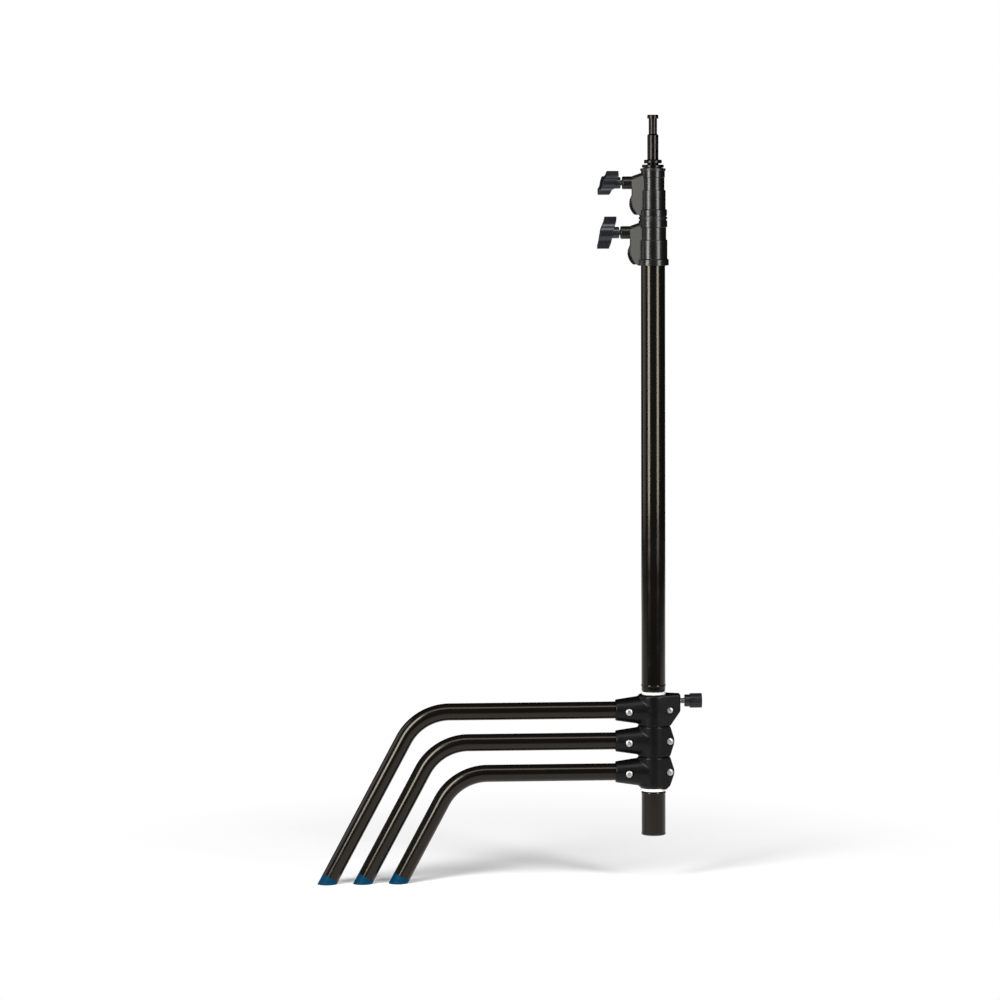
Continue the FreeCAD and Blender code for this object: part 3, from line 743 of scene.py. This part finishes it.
def paint_node(node, look):
    """Gives a CAD node a better material and leaves its shape alone."""
    shown = frame["nodes"][node]
    if not shown.material_slots:
        shown.data.materials.append(finish(look))
    for slot in shown.material_slots:
        slot.material = finish(look)


# Pieces ---------------------------------------------------------------------------


def leg_line(leg):
    """Where a leg runs: its socket end, the bend's start and end, and the foot end."""
    low, high = box(leg + "_leg_tube")
    slope = math.radians(BEND_DEG)
    z = high.z - LEG_R
    end = Vector((low.x + LEG_R * math.sin(slope), 0, low.z + LEG_R * math.cos(slope)))
    down = Vector((-math.cos(slope), 0, -math.sin(slope)))
    bend_end_z = z - BEND_R * (1 - math.cos(slope))
    bend_end = end - down * ((bend_end_z - end.z) / math.sin(slope))
    bend_start = Vector((bend_end.x + BEND_R * math.sin(slope), 0, z))
    return Vector((high.x, 0, z)), bend_start, bend_end, end


class STAND_OT_leg_tubes(Operator):
    """Bends the three leg tubes, drills them and rounds their ends"""
    bl_idname = "stand.leg_tubes"
    bl_label = "Leg tubes"

    def execute(self, context):
        for leg in LEGS:
            socket, bend_start, bend_end, end = leg_line(leg)
            deselect()
            bpy.ops.mesh.primitive_circle_add(
                vertices=KNOB_ROUND, radius=LEG_R * MM, location=socket * MM,
                rotation=(0, math.pi / 2, 0))
            tube = settle("bent_tube_" + leg)
            edit()
            extrude((bend_start - socket) * MM)
            bpy.ops.mesh.spin(
                steps=BEND_STEPS, angle=math.radians(BEND_DEG), axis=(0, 1, 0),
                center=(bend_start - Vector((0, 0, BEND_R))) * MM)
            extrude((end - bend_end) * MM)
            tidy_mesh()
            modify(tube, "SOLIDIFY", thickness=LEG_WALL * MM, offset=-1)
            hole_z = socket.z - LEG_BOLT_DROP
            hole = bar("Y", LEG_BOLT_R, -THROUGH, THROUGH, (LEG_BOLT_X, 0, hole_z))
            combine(tube, "DIFFERENCE", hole)
            soften(tube, context.scene.stand_sizes.edge, limit=60)
            smooth(tube)
            stand_in(tube, "gloss_black_tube", leg + "_leg_tube")
        return {"FINISHED"}


class STAND_OT_foot_plugs(Operator):
    """Turns a plug for each leg, tilts it into the tube and cuts it level with the floor"""
    bl_idname = "stand.foot_plugs"
    bl_label = "Foot plugs"

    def execute(self, context):
        for leg in LEGS:
            end = leg_line(leg)[3]
            reach = 3 * LEG_R
            plug = lathe("foot_plug_" + leg, [
                (0, PLUG_STEM_L), (PLUG_STEM_R - PLUG_LEAD_R, PLUG_STEM_L),
                (PLUG_STEM_R, PLUG_STEM_L - PLUG_LEAD_L), (PLUG_STEM_R, 0),
                (LEG_R - PLUG_RIM, 0), (LEG_R, -PLUG_RIM), (LEG_R, -reach), (0, -reach)])
            turn(plug, "Y", 90 - BEND_DEG, (0, 0, 0))
            shift(plug, end)
            pick(plug)
            edit()
            bpy.ops.mesh.bisect(
                plane_co=(0, 0, 0), plane_no=(0, 0, -1), use_fill=True, clear_outer=True)
            leave()
            soften(plug, PLUG_EDGE * MM, 3, limit=40)
            stand_in(plug, "blue_plug", leg + "_leg_foot_plug", off=2.5)
        return {"FINISHED"}


def wedge(name, hub_r, tip, side):
    """The hub drawn out to a narrow tip: a side outline whose walls touch the hub."""
    reach = math.hypot(tip, EAR_HALF_W)
    angle = math.atan2(EAR_HALF_W, tip) + math.acos(hub_r / reach)
    x, y = hub_r * math.cos(angle), hub_r * math.sin(angle)
    slope = (y - EAR_HALF_W) / (tip - x)
    piece = slab(name, [(max(px, x), pz) for px, pz in side], y)
    for px in sorted({px for px, pz in side if px > x}):
        select_by(piece, "VERT", lambda p: abs(p.x - px) < 0.1)
        narrow = (y - slope * (px - x)) / y
        bpy.ops.transform.resize(value=(1, narrow, 1), center_override=(0, 0, 0))
    leave()
    soften(piece, EAR_EDGE * MM, 3, limit=30)
    return piece


class STAND_OT_leg_castings(Operator):
    """Skins each leg's hub, socket and ear as one casting, then bores and slits it"""
    bl_idname = "stand.leg_castings"
    bl_label = "Leg castings"

    def execute(self, context):
        for leg in LEGS:
            low, high = box(leg + "_leg_casting")
            z = leg_line(leg)[0].z
            hub_r, tip, top = high.y, high.x, leg == "top"
            shoulder = TOP_SHOULDER if top else HUB_EDGE
            taper = LOWER_TAPER if leg == "lower" else HUB_EDGE
            piece = lathe("cast_hub_" + leg, [
                (0, low.z), (hub_r - taper, low.z), (hub_r, low.z + taper),
                (hub_r, high.z - shoulder), (hub_r - shoulder, high.z), (0, high.z)])
            socket = spin("socket", "X", (0, 0, z), [
                (0, low.x), (SOCKET_END_R - 0.5, low.x), (SOCKET_END_R, low.x + 0.7),
                (SOCKET_ROOT_R, SOCKET_ROOT_X), (0, SOCKET_ROOT_X)])
            if top:
                side = [(0, low.z), (EAR_ROOT, low.z), (tip, high.z - BOSS_UNDER),
                        (tip, high.z), (EAR_ROOT, high.z)]
            else:
                side = [(0, low.z), (hub_r - taper, low.z), (EAR_ROOT, low.z + taper),
                        (tip, z - EAR_FLAT), (tip, z + EAR_FLAT), (EAR_ROOT, high.z)]
            side += [(0, high.z), (0, low.z)]
            join(piece, socket, wedge("ear", hub_r, tip, side))
            skin(piece, context.scene.stand_sizes.cast_skin, CAST_FLOW)
            far = 3 * hub_r
            bore = bar("Z", COLUMN_R + SEAT if top else HUB_BORE_R, low.z - PAST, high.z + PAST,
                       (0, 0, 0), ROUND)
            slit_top = high.z - SLIT_END if top else high.z + PAST
            tools = [
                bar("X", LEG_R + SEAT, low.x - PAST, low.x + SOCKET_DEPTH, (0, 0, z), 64),
                brick((hub_r - 8, -SLIT / 2, low.z - PAST), (far, SLIT / 2, slit_top)),
                bar("Y", LEG_BOLT_R, -far, far, (LEG_BOLT_X, 0, z - LEG_BOLT_DROP), HOLE),
                bar("Y", CLAMP_BOLT_R, -far, far, (CLAMP_BOLT_X, 0, z), HOLE),
            ]
            for side in (-1, 1):
                tools.append(bar("Y", LEG_BORE_R, side * LEG_BOLT_SEAT, side * far,
                                 (LEG_BOLT_X, 0, z - LEG_BOLT_DROP)))
                tools.append(bar("Y", CLAMP_BORE_R, side * CLAMP_BOLT_SEAT, side * far,
                                 (CLAMP_BOLT_X, 0, z)))
            if top:
                tools.append(bar("X", SCREW_R, 10, far, (0, 0, LOCK_Z), HOLE))
            else:
                tools.append(bar("Z", SPACER_R, high.z - 1, high.z + PAST, (0, 0, 0), ROUND))
            combine(bore, "UNION", *tools)
            combine(piece, "DIFFERENCE", bore)
            smooth(piece, 38)
            stand_in(piece, "black_casting", leg + "_leg_casting", off=2.0)
        return {"FINISHED"}


class STAND_OT_bolts(Operator):
    """Models a button-head bolt and a nut of each size and copies them to every leg"""
    bl_idname = "stand.bolts"
    bl_label = "Bolts and nuts"

    def execute(self, context):
        sizes = context.scene.stand_sizes
        kinds = (
            ("leg", LEG_BOLT_R, LEG_BOLT_X, LEG_BOLT_SEAT, LEG_BOLT_DROP),
            ("clamp", CLAMP_BOLT_R, CLAMP_BOLT_X, CLAMP_BOLT_SEAT, 0.0),
        )
        for kind, radius, x, seat, drop in kinds:
            z = leg_line("top")[0].z - drop
            low, high = box(f"top_{kind}_bolt")
            dome = [(0, low.y)]
            for i in range(1, 7):
                a = math.radians(15 * i)
                dome.append((HEAD_R * math.sin(a) ** 0.7,
                             low.y + HEAD_T * (1 - math.cos(a)) * 0.8))
            dome += [(HEAD_R, -seat), (radius, -seat), (radius, seat)]
            dome += thread(radius, seat, high.y) + [(0, high.y)]
            bolt = spin(f"button_bolt_{kind}_top", "Y", (x, 0, z), dome, BOLT_ROUND)
            key = bar("Y", sizes.key / MM / HEX, low.y - 2,
                      low.y + sizes.key_depth / MM, (x, 0, z), 6)
            combine(bolt, "DIFFERENCE", key)
            smooth(bolt)
            nut = bar("Y", NUT_FLAT_R / HEX, seat, seat + NUT_T, (x, 0, z), 6)
            nut.name = f"hex_nut_{kind}_top"
            crown = spin("crown", "Y", (x, 0, z), [
                (0, seat), (NUT_FACE_R, seat), (NUT_CORNER_R, seat + NUT_CHAMFER),
                (NUT_CORNER_R, seat + NUT_T - NUT_CHAMFER), (NUT_FACE_R, seat + NUT_T),
                (0, seat + NUT_T)], BOLT_ROUND)
            combine(nut, "INTERSECT", crown)
            hole = bar("Y", radius, seat - 1, seat + NUT_T + 1, (x, 0, z), HOLE)
            combine(nut, "DIFFERENCE", hole)
            smooth(nut)
            for leg in LEGS:
                move = (0, 0, leg_line(leg)[0].z - leg_line("top")[0].z)
                pair = (bolt, nut)
                if leg != "top":
                    pair = (copy_of(bolt, f"button_bolt_{kind}_{leg}", move),
                            copy_of(nut, f"hex_nut_{kind}_{leg}", move))
                stand_in(pair[0], "zinc_steel", f"{leg}_{kind}_bolt")
                stand_in(pair[1], "zinc_steel", f"{leg}_{kind}_nut")
        return {"FINISHED"}


class STAND_OT_bushes(Operator):
    """Turns the nylon bushes and spacers of the legs and the washer under the column"""
    bl_idname = "stand.bushes"
    bl_label = "Bushes and washers"

    def execute(self, context):
        edge = context.scene.stand_sizes.edge
        rings = [("column_thrust_washer", PIN_R + RUN)]
        for leg in LEGS[1:]:
            rings += [(leg + "_leg_bush", BUSH_BORE_R), (leg + "_leg_spacer", BUSH_BORE_R)]
        for node, inner in rings:
            low, high = box(node)
            piece = ring("turned_" + node, inner, high.x, low.z, high.z)
            soften(piece, min(edge, 0.2 * (high.z - low.z) * MM))
            stand_in(piece, "black_plastic" if "spacer" in node else "white_nylon", node)
        return {"FINISHED"}


class STAND_OT_base(Operator):
    """Turns the base tube with its bead, drills it for the lock and caps its end"""
    bl_idname = "stand.base"
    bl_label = "Base tube and cap"

    def execute(self, context):
        low, high = box("base_tube")
        bush_low = box("lower_leg_bush")[0]
        inner = PIN_R + RUN
        bead_z = bush_low.z - BASE_BEAD_DROP
        tube = lathe("rolled_base_tube", [
            (inner, low.z), (COLUMN_R, low.z), *bead(COLUMN_R, bead_z),
            (COLUMN_R, high.z), (inner, high.z), (inner, low.z)])
        combine(tube, "DIFFERENCE", bar("X", SCREW_R + GAP, 0, THROUGH, (0, 0, LOCK_Z), HOLE))
        soften(tube, 0.3 * MM, limit=50)
        smooth(tube)
        stand_in(tube, "gloss_black_tube", "base_tube")
        low, high = box("base_tube_end_cap")
        lip = box("base_tube")[0].z
        cap = lathe("moulded_end_cap", [
            (0, low.z), *corner(high.x - CAP_EDGE, low.z + CAP_EDGE, CAP_EDGE, -90, 0),
            (high.x, lip), (inner - SNUG, lip), (inner - SNUG, high.z - 1),
            (inner - 1.0, high.z), (0, high.z)])
        smooth(cap)
        stand_in(cap, "black_plastic", "base_tube_end_cap")
        return {"FINISHED"}


class STAND_OT_column(Operator):
    """Turns the column with its rounded, beaded end, and the pin below it"""
    bl_idname = "stand.column"
    bl_label = "Column and base pin"

    def execute(self, context):
        low, high = box("column_tube")
        bore, seat = COLUMN_R - RISER_WALL, PIN_R + SNUG
        lip = low.z + COLUMN_END_R
        tube = lathe("swaged_column_tube", [
            (seat, low.z), *corner(COLUMN_R - COLUMN_END_R, lip, COLUMN_END_R, -90, 0),
            *bead(COLUMN_R, low.z + COLUMN_BEAD_UP), (COLUMN_R, high.z), (bore, high.z),
            (bore, lip), (seat, lip), (seat, low.z)])
        smooth(tube)
        stand_in(tube, "gloss_black_tube", "column_tube")
        low, high = box("base_pin")
        bore = PIN_R - PIN_WALL
        pin = lathe("turned_base_pin", [
            (bore, low.z), (PIN_R - PIN_LEAD_R, low.z), (PIN_R, low.z + PIN_LEAD_L),
            (PIN_R, lip), (high.x, lip), (high.x, high.z), (bore, high.z), (bore, low.z)])
        soften(pin, context.scene.stand_sizes.edge, limit=20)
        stand_in(pin, "zinc_steel", "base_pin")
        return {"FINISHED"}


class STAND_OT_lock(Operator):
    """Models the fluted knob and the threaded screw of the column's lock"""
    bl_idname = "stand.lock"
    bl_label = "Column lock"

    def execute(self, context):
        sizes = context.scene.stand_sizes
        low, high = box("lock_knob")
        step = low.x + KNOB_NECK
        sides = 2 * sizes.flutes
        head = bar("X", KNOB_R, step, high.x, (0, 0, LOCK_Z), sides)
        head.name = "fluted_knob"
        phase = math.pi / sides
        axis = Vector((0, 0, LOCK_Z))

        def in_flute(p):
            out = p - axis
            if math.hypot(out.y, out.z) < KNOB_R * 0.9:
                return False
            return round((math.atan2(out.z, out.y) - phase) / (2 * phase)) % 2 == 0

        select_by(head, "FACE", in_flute)
        bpy.ops.mesh.inset(
            thickness=FLUTE_EDGE * MM, depth=-sizes.flute_depth, use_individual=True)
        leave()
        neck = spin("neck", "X", (0, 0, LOCK_Z), [
            (0, low.x), (KNOB_NECK_R - KNOB_EDGE, low.x), (KNOB_NECK_R, low.x + KNOB_EDGE),
            (KNOB_NECK_R, step + 1), (0, step + 1)], KNOB_ROUND)
        dish = spin("dish", "X", (0, 0, LOCK_Z), [
            (0, high.x - 1.2), (DISH_R, high.x - 1.0), (DISH_RIM_R, high.x + 1),
            (0, high.x + 1)], KNOB_ROUND)
        soften(head, 0.35 * MM, 2, limit=30)
        combine(head, "DIFFERENCE", dish)
        join(head, neck)
        smooth(head, 30)
        stand_in(head, "black_plastic", "lock_knob")
        low, high = box("lock_screw")
        screw = spin("threaded_lock_screw", "X", (0, 0, LOCK_Z), [
            (0, low.x), *thread(SCREW_R, low.x, high.x - 8), (SCREW_R, high.x - 8),
            (SCREW_R, high.x), (0, high.x)], BOLT_ROUND)
        smooth(screw)
        stand_in(screw, "zinc_steel", "lock_screw")
        paint_node("lock_tip", turned_brass)
        return {"FINISHED"}


def fin_outline(tube_r, z0, inset, root):
    """Side outline of a collar's fin: slope, straight back and round lobe."""
    back = -(tube_r + FIN_OUT)
    lobe = -(tube_r + LOBE_OUT - inset)
    end = -(tube_r + LOBE_END - inset)
    points = [(root, z0 + 1.5), (root, z0 + COLLAR_H - 1.5 - inset),
              (back, z0 + FIN_TOP - inset), (back, z0 + FIN_FOOT)]
    for i in range(1, 9):
        t = i / 9
        a, b, c = (1 - t) * (1 - t), 2 * t * (1 - t), t * t
        middle = 2 * lobe - (back + end) / 2
        points.append((a * back + b * middle + c * end,
                       z0 + a * FIN_FOOT + b * (2 * LOBE_MID - (FIN_FOOT + 1) / 2) + c))
    return points + [(end, z0 + 1.5), (root, z0 + 1.5)]


class STAND_OT_collars(Operator):
    """Turns each collar's stepped barrel and casts its fin and screw boss onto it"""
    bl_idname = "stand.collars"
    bl_label = "Collars"

    def execute(self, context):
        sizes = context.scene.stand_sizes
        for level, tube_r, riser_r, rim in COLLARS:
            node = level + "_collar"
            low, high = box(node)
            z = low.z
            screw_z = z + SCREW_Z
            mouth = riser_r + SLEEVE_WALL + SNUG
            barrel = lathe("stepped_collar_" + level, [
                (tube_r, z), (tube_r + FLANGE_WALL, z), (tube_r + FLANGE_WALL, z + FLANGE_H),
                (tube_r + BAND_WALL, z + FLANGE_H + 0.8), (tube_r + BAND_WALL, z + BAND_TOP),
                (tube_r + NECK_WALL, z + BAND_TOP), (tube_r + NECK_WALL, z + NECK_TOP),
                (tube_r + rim, z + NECK_TOP), (tube_r + rim, high.z),
                (mouth, high.z), (mouth, z + TUBE_SOCKET), (tube_r, z + TUBE_SOCKET),
                (tube_r, z)])
            soften(barrel, 0.5 * MM, 3)
            root = -(tube_r - 2)
            fin = slab("fin", fin_outline(tube_r, z, 0, root), RIB_HALF_T)
            cheeks = slab("cheeks", fin_outline(tube_r, z, RIB_STEP, root), FIN_HALF_T)
            out = -(tube_r + SCREW_BOSS_OUT)
            boss = spin("boss", "X", (0, 0, screw_z), [
                (0, out), (SCREW_BOSS_R - 0.8, out), (SCREW_BOSS_R, out + 0.8),
                (SCREW_BOSS_R, root), (0, root)], KNOB_ROUND)
            join(fin, cheeks, boss)
            skin(fin, sizes.fin_skin, FIN_FLOW)
            inside = bar("Z", tube_r + 0.8, z - 5, high.z + 5, (0, 0, 0), ROUND)
            hole = bar("X", SCREW_R + 0.1, out - PAST, 0, (0, 0, screw_z), HOLE)
            combine(inside, "UNION", hole)
            combine(fin, "DIFFERENCE", inside)
            smooth(fin, 38)
            paint(fin, satin_turned_coat, as_cast_coat_painted_lit)
            # The flat cheek faces get the lighter cast coat as painted light, and the fin's
            # curved rim and boss keep the dark satin coat as painted shade.
            cheek_x = -(tube_r + FIN_OUT + 1)
            select_by(fin, "FACE", lambda p: abs(p.y) > FIN_HALF_T - 0.9 and p.x > cheek_x)
            fin.active_material_index = 1
            bpy.ops.object.material_slot_assign()
            leave()
            paint(barrel, satin_turned_coat)
            hole = bar("X", PAD_BORE_R, -tube_r - PAST, 0, (0, 0, screw_z), HOLE)
            combine(barrel, "DIFFERENCE", hole)
            join(barrel, fin)
            stand_in(barrel, "collar_casting", node, off=1.2)
        return {"FINISHED"}


class STAND_OT_sleeves(Operator):
    """Turns the sleeves in the collars' mouths, with the rings that show above them"""
    bl_idname = "stand.sleeves"
    bl_label = "Sleeves"

    def execute(self, context):
        for level, riser_r, step, rim, rim_low, rim_high in SLEEVES:
            node = level + "_sleeve"
            low, high = box(node)
            z = box(level + "_collar")[1].z
            inner, outer = riser_r + RUN, riser_r + SLEEVE_WALL
            profile = [(inner, low.z), (outer, low.z), (outer, z)]
            if rim_low:
                profile += [(step, z), (step, z + rim_low)]
            profile += [(rim, z + rim_low), (rim, z + rim_high), (step, z + rim_high),
                        (step, high.z), (inner, high.z), (inner, low.z)]
            sleeve = lathe("moulded_sleeve_" + level, profile)
            screw_z = box(level + "_collar")[0].z + SCREW_Z
            hole = bar("X", PAD_BORE_R - SEAT, -THROUGH, 0, (0, 0, screw_z), HOLE)
            combine(sleeve, "DIFFERENCE", hole)
            soften(sleeve, context.scene.stand_sizes.edge, 3)
            stand_in(sleeve, "black_plastic", node)
            paint_node(level + "_brake_pad", white_nylon)
        return {"FINISHED"}


class STAND_OT_handles(Operator):
    """Moulds the two T-handles, sets their turn, and turns the screws they drive"""
    bl_idname = "stand.handles"
    bl_label = "T-handles"

    def execute(self, context):
        grips = {}
        for level, angle in (("lower", 0.0), ("upper", UPPER_HANDLE_TURN)):
            low, high = box(level + "_handle_screw")
            z = (low.z + high.z) / 2
            x = box(level + "_handle_grip")[1].x
            if not grips:
                grips[level] = self.grip(context, x, z)
                home = Vector((x, 0, z))
            else:
                move = Vector((x, 0, z)) - home
                grips[level] = copy_of(grips["lower"], "t_grip_" + level, move)
                turn(grips[level], "X", angle, (x, 0, z))
            screw = spin("threaded_handle_screw_" + level, "X", (0, 0, z), [
                (0, low.x), (SCREW_R, low.x), (SCREW_R, x - 1.5),
                *thread(SCREW_R, x - 1.5, high.x), (0, high.x)], BOLT_ROUND)
            smooth(screw)
            stand_in(screw, "zinc_steel", level + "_handle_screw")
        for level, piece in grips.items():
            stand_in(piece, "grip_plastic", level + "_handle_grip", off=1.5)
        return {"FINISHED"}

    def grip(self, context, x, z):
        """A grip whose wing is round in the middle, thin beside it and thick at its tips."""
        body = spin("t_grip_lower", "X", (0, 0, z), [
            (0, x), (GRIP_HUB_R - 0.7, x), (GRIP_HUB_R, x - 0.7),
            (GRIP_HUB_R, x - GRIP_HUB_L), (0, x - GRIP_HUB_L)], KNOB_ROUND)
        wing = loft("wing", [
            (x + left, x + right, half_t, z + up) for left, right, half_t, up in WING_ROWS])
        combine(body, "UNION", wing)
        soften(body, context.scene.stand_sizes.grip_edge, 3, limit=50)
        return body


def roll_pin_hole():
    """The cutter for the roll pin that holds the spigot in its tube."""
    low, high = box("spigot_roll_pin")
    return bar("Y", ROLL_PIN_R, -THROUGH, THROUGH, (0, 0, (low.z + high.z) / 2), HOLE)


class STAND_OT_risers(Operator):
    """Turns the two riser tubes and finishes what runs on their lower ends"""
    bl_idname = "stand.risers"
    bl_label = "Risers"

    def execute(self, context):
        for level, radius in (("mid", MID_R), ("top", TOP_R)):
            low, high = box(level + "_riser_tube")
            tube = ring("drawn_riser_" + level, radius - RISER_WALL, radius, low.z, high.z)
            if level == "top":
                combine(tube, "DIFFERENCE", roll_pin_hole())
            soften(tube, context.scene.stand_sizes.edge, limit=60)
            smooth(tube)
            stand_in(tube, "gloss_black_tube", level + "_riser_tube")
            paint_node(level + "_riser_guide", white_nylon)
            paint_node(level + "_riser_snap_ring", oiled_spring_steel)
            paint_node(level + "_riser_end_cap", moulded_abs)
        return {"FINISHED"}


class STAND_OT_spigot(Operator):
    """Turns the spigot with its two flanges, waist and head"""
    bl_idname = "stand.spigot"
    bl_label = "Spigot"

    def execute(self, context):
        low, high = box("spigot")
        z = box("top_riser_tube")[1].z
        plug_r = TOP_R - RISER_WALL - SNUG
        piece = lathe("turned_spigot", [
            (0, low.z), (plug_r, low.z), (plug_r, z), *((r, z + up) for r, up in SPIGOT_STEPS),
            (8.0, high.z - 0.8), (7.2, high.z), (2.2, high.z), (0, high.z - 1.2)])
        combine(piece, "DIFFERENCE", roll_pin_hole())
        soften(piece, 0.3 * MM, 3, limit=25)
        stand_in(piece, "black_spigot", "spigot")
        paint_node("spigot_roll_pin", oiled_spring_steel)
        return {"FINISHED"}


# Stage ----------------------------------------------------------------------------

# Camera: its distance in front of the stand, height, heading and tilt, and its lens
CAMERA_AIM = (-222.9, 0.0)
CAMERA_DISTANCE, CAMERA_HEIGHT = 6200.0, 1130.0
CAMERA_HEADING, CAMERA_TILT, CAMERA_ROLL = -3.0, 5.25, 0.25
CAMERA_LENS, SENSOR_WIDTH = 154.6, 36.0
CLIP_END = 100.0         # metres

# Paper floor
FLOOR_WIDTH, FLOOR_DEPTH, FLOOR_MIDDLE = 6000.0, 4300.0, (-200.0, 1250.0, 0.0)

# Softboxes: name, bearing from the camera's side of the stand, distance, place to the
# side, height of the middle, height aimed at, width, height and power in watts
SOFTBOXES = (
    ("strip_left", -43.0, 2000.0, 0.0, 1150.0, 1150.0, 620.0, 1600.0, 58.0),
    ("strip_right", 43.0, 2000.0, 0.0, 1150.0, 1150.0, 620.0, 1600.0, 46.0),
    ("panel_left", -98.0, 2200.0, 0.0, 1150.0, 1150.0, 1500.0, 1700.0, 11.0),
    ("overhead", 0.0, 1150.0, -220.0, 2300.0, 500.0, 3000.0, 700.0, 30.0),
)


class STAND_OT_stage(Operator):
    """Sets up the paper floor, the softboxes, the white surroundings and the camera"""
    bl_idname = "stand.stage"
    bl_label = "Stage"

    def execute(self, context):
        deselect()
        bpy.ops.mesh.primitive_plane_add(size=1)
        floor = settle("paper_floor")
        edit()
        bpy.ops.transform.resize(value=(FLOOR_WIDTH * MM, FLOOR_DEPTH * MM, 1))
        bpy.ops.transform.translate(value=Vector(FLOOR_MIDDLE) * MM)
        leave()
        paint(floor, paper_sweep)
        world = bpy.data.worlds.new("white_surroundings")
        context.scene.world = world
        world.use_nodes = True
        world.node_tree.nodes.clear()
        light = add(world.node_tree, "ShaderNodeBackground", {
            "Color": linear("#FFFFFF"), "Strength": 1.0})
        add(world.node_tree, "ShaderNodeOutputWorld", {"Surface": light.outputs["Background"]})
        # A dark studio: the pieces show and catch only the softboxes and the floor.
        world.cycles_visibility.glossy = False
        world.cycles_visibility.diffuse = False
        heading = math.radians(CAMERA_HEADING)
        for name, bearing, distance, x, z, aim_z, width, tall, power in SOFTBOXES:
            a = math.radians(bearing) + heading
            spot = Vector((x + math.sin(a) * distance, -math.cos(a) * distance, z)) * MM
            aim = Vector((x, 0, aim_z)) * MM
            deselect()
            bpy.ops.object.light_add(type="AREA", location=spot)
            lamp = bpy.context.object
            lamp.name = name
            lamp.data.shape = "RECTANGLE"
            lamp.data.size = width * MM
            lamp.data.size_y = tall * MM
            lamp.data.energy = power
            lamp.rotation_euler = (aim - spot).to_track_quat("-Z", "Y").to_euler()
        context.scene.view_settings.view_transform = "Standard"
        self.camera(context, heading)
        return {"FINISHED"}

    def camera(self, context, heading):
        """A long lens in front of the stand, a little above its top and tilted down."""
        forward = Vector((-math.sin(heading), math.cos(heading), 0))
        spot = Vector((*CAMERA_AIM, CAMERA_HEIGHT)) - forward * CAMERA_DISTANCE
        bpy.ops.object.camera_add(location=spot * MM)
        camera = bpy.context.object
        camera.name = "camera"
        camera.data.lens = CAMERA_LENS
        camera.data.sensor_width = SENSOR_WIDTH
        camera.data.clip_end = CLIP_END
        upright = Euler((math.radians(90 - CAMERA_TILT), 0, heading)).to_quaternion()
        roll = Quaternion((0, 0, 1), math.radians(-CAMERA_ROLL))
        camera.rotation_mode = "QUATERNION"
        camera.rotation_quaternion = upright @ roll
        context.scene.camera = camera


# Add-on ---------------------------------------------------------------------------


OPERATORS = (
    STAND_OT_leg_tubes, STAND_OT_foot_plugs, STAND_OT_leg_castings, STAND_OT_bolts,
    STAND_OT_bushes, STAND_OT_base, STAND_OT_column, STAND_OT_lock, STAND_OT_collars,
    STAND_OT_sleeves, STAND_OT_handles, STAND_OT_risers, STAND_OT_spigot, STAND_OT_stage,
)


class STAND_PT_pieces(Panel):
    """Lists the stand's pieces, finishes and sizes"""
    bl_idname = "STAND_PT_pieces"
    bl_label = "Light Stand"
    bl_space_type = "VIEW_3D"
    bl_region_type = "UI"
    bl_category = "Light Stand"

    def draw(self, context):
        for operator in OPERATORS:
            self.layout.operator(operator.bl_idname)
        for group in (context.scene.stand_finishes, context.scene.stand_sizes):
            column = self.layout.column()
            for name in group.__annotations__:
                column.prop(group, name)


CLASSES = (StandFinishes, StandSizes, *OPERATORS, STAND_PT_pieces)


def register():
    for cls in CLASSES:
        bpy.utils.register_class(cls)
    bpy.types.Scene.stand_finishes = PointerProperty(type=StandFinishes)
    bpy.types.Scene.stand_sizes = PointerProperty(type=StandSizes)


def unregister():
    del bpy.types.Scene.stand_sizes
    del bpy.types.Scene.stand_finishes
    for cls in reversed(CLASSES):
        bpy.utils.unregister_class(cls)


def main():
    """Makes every piece and the stage."""
    register()
    for operator in OPERATORS:
        name = operator.bl_idname.split(".")[1]
        getattr(bpy.ops.stand, name)()


if __name__ == "__main__":
    main()
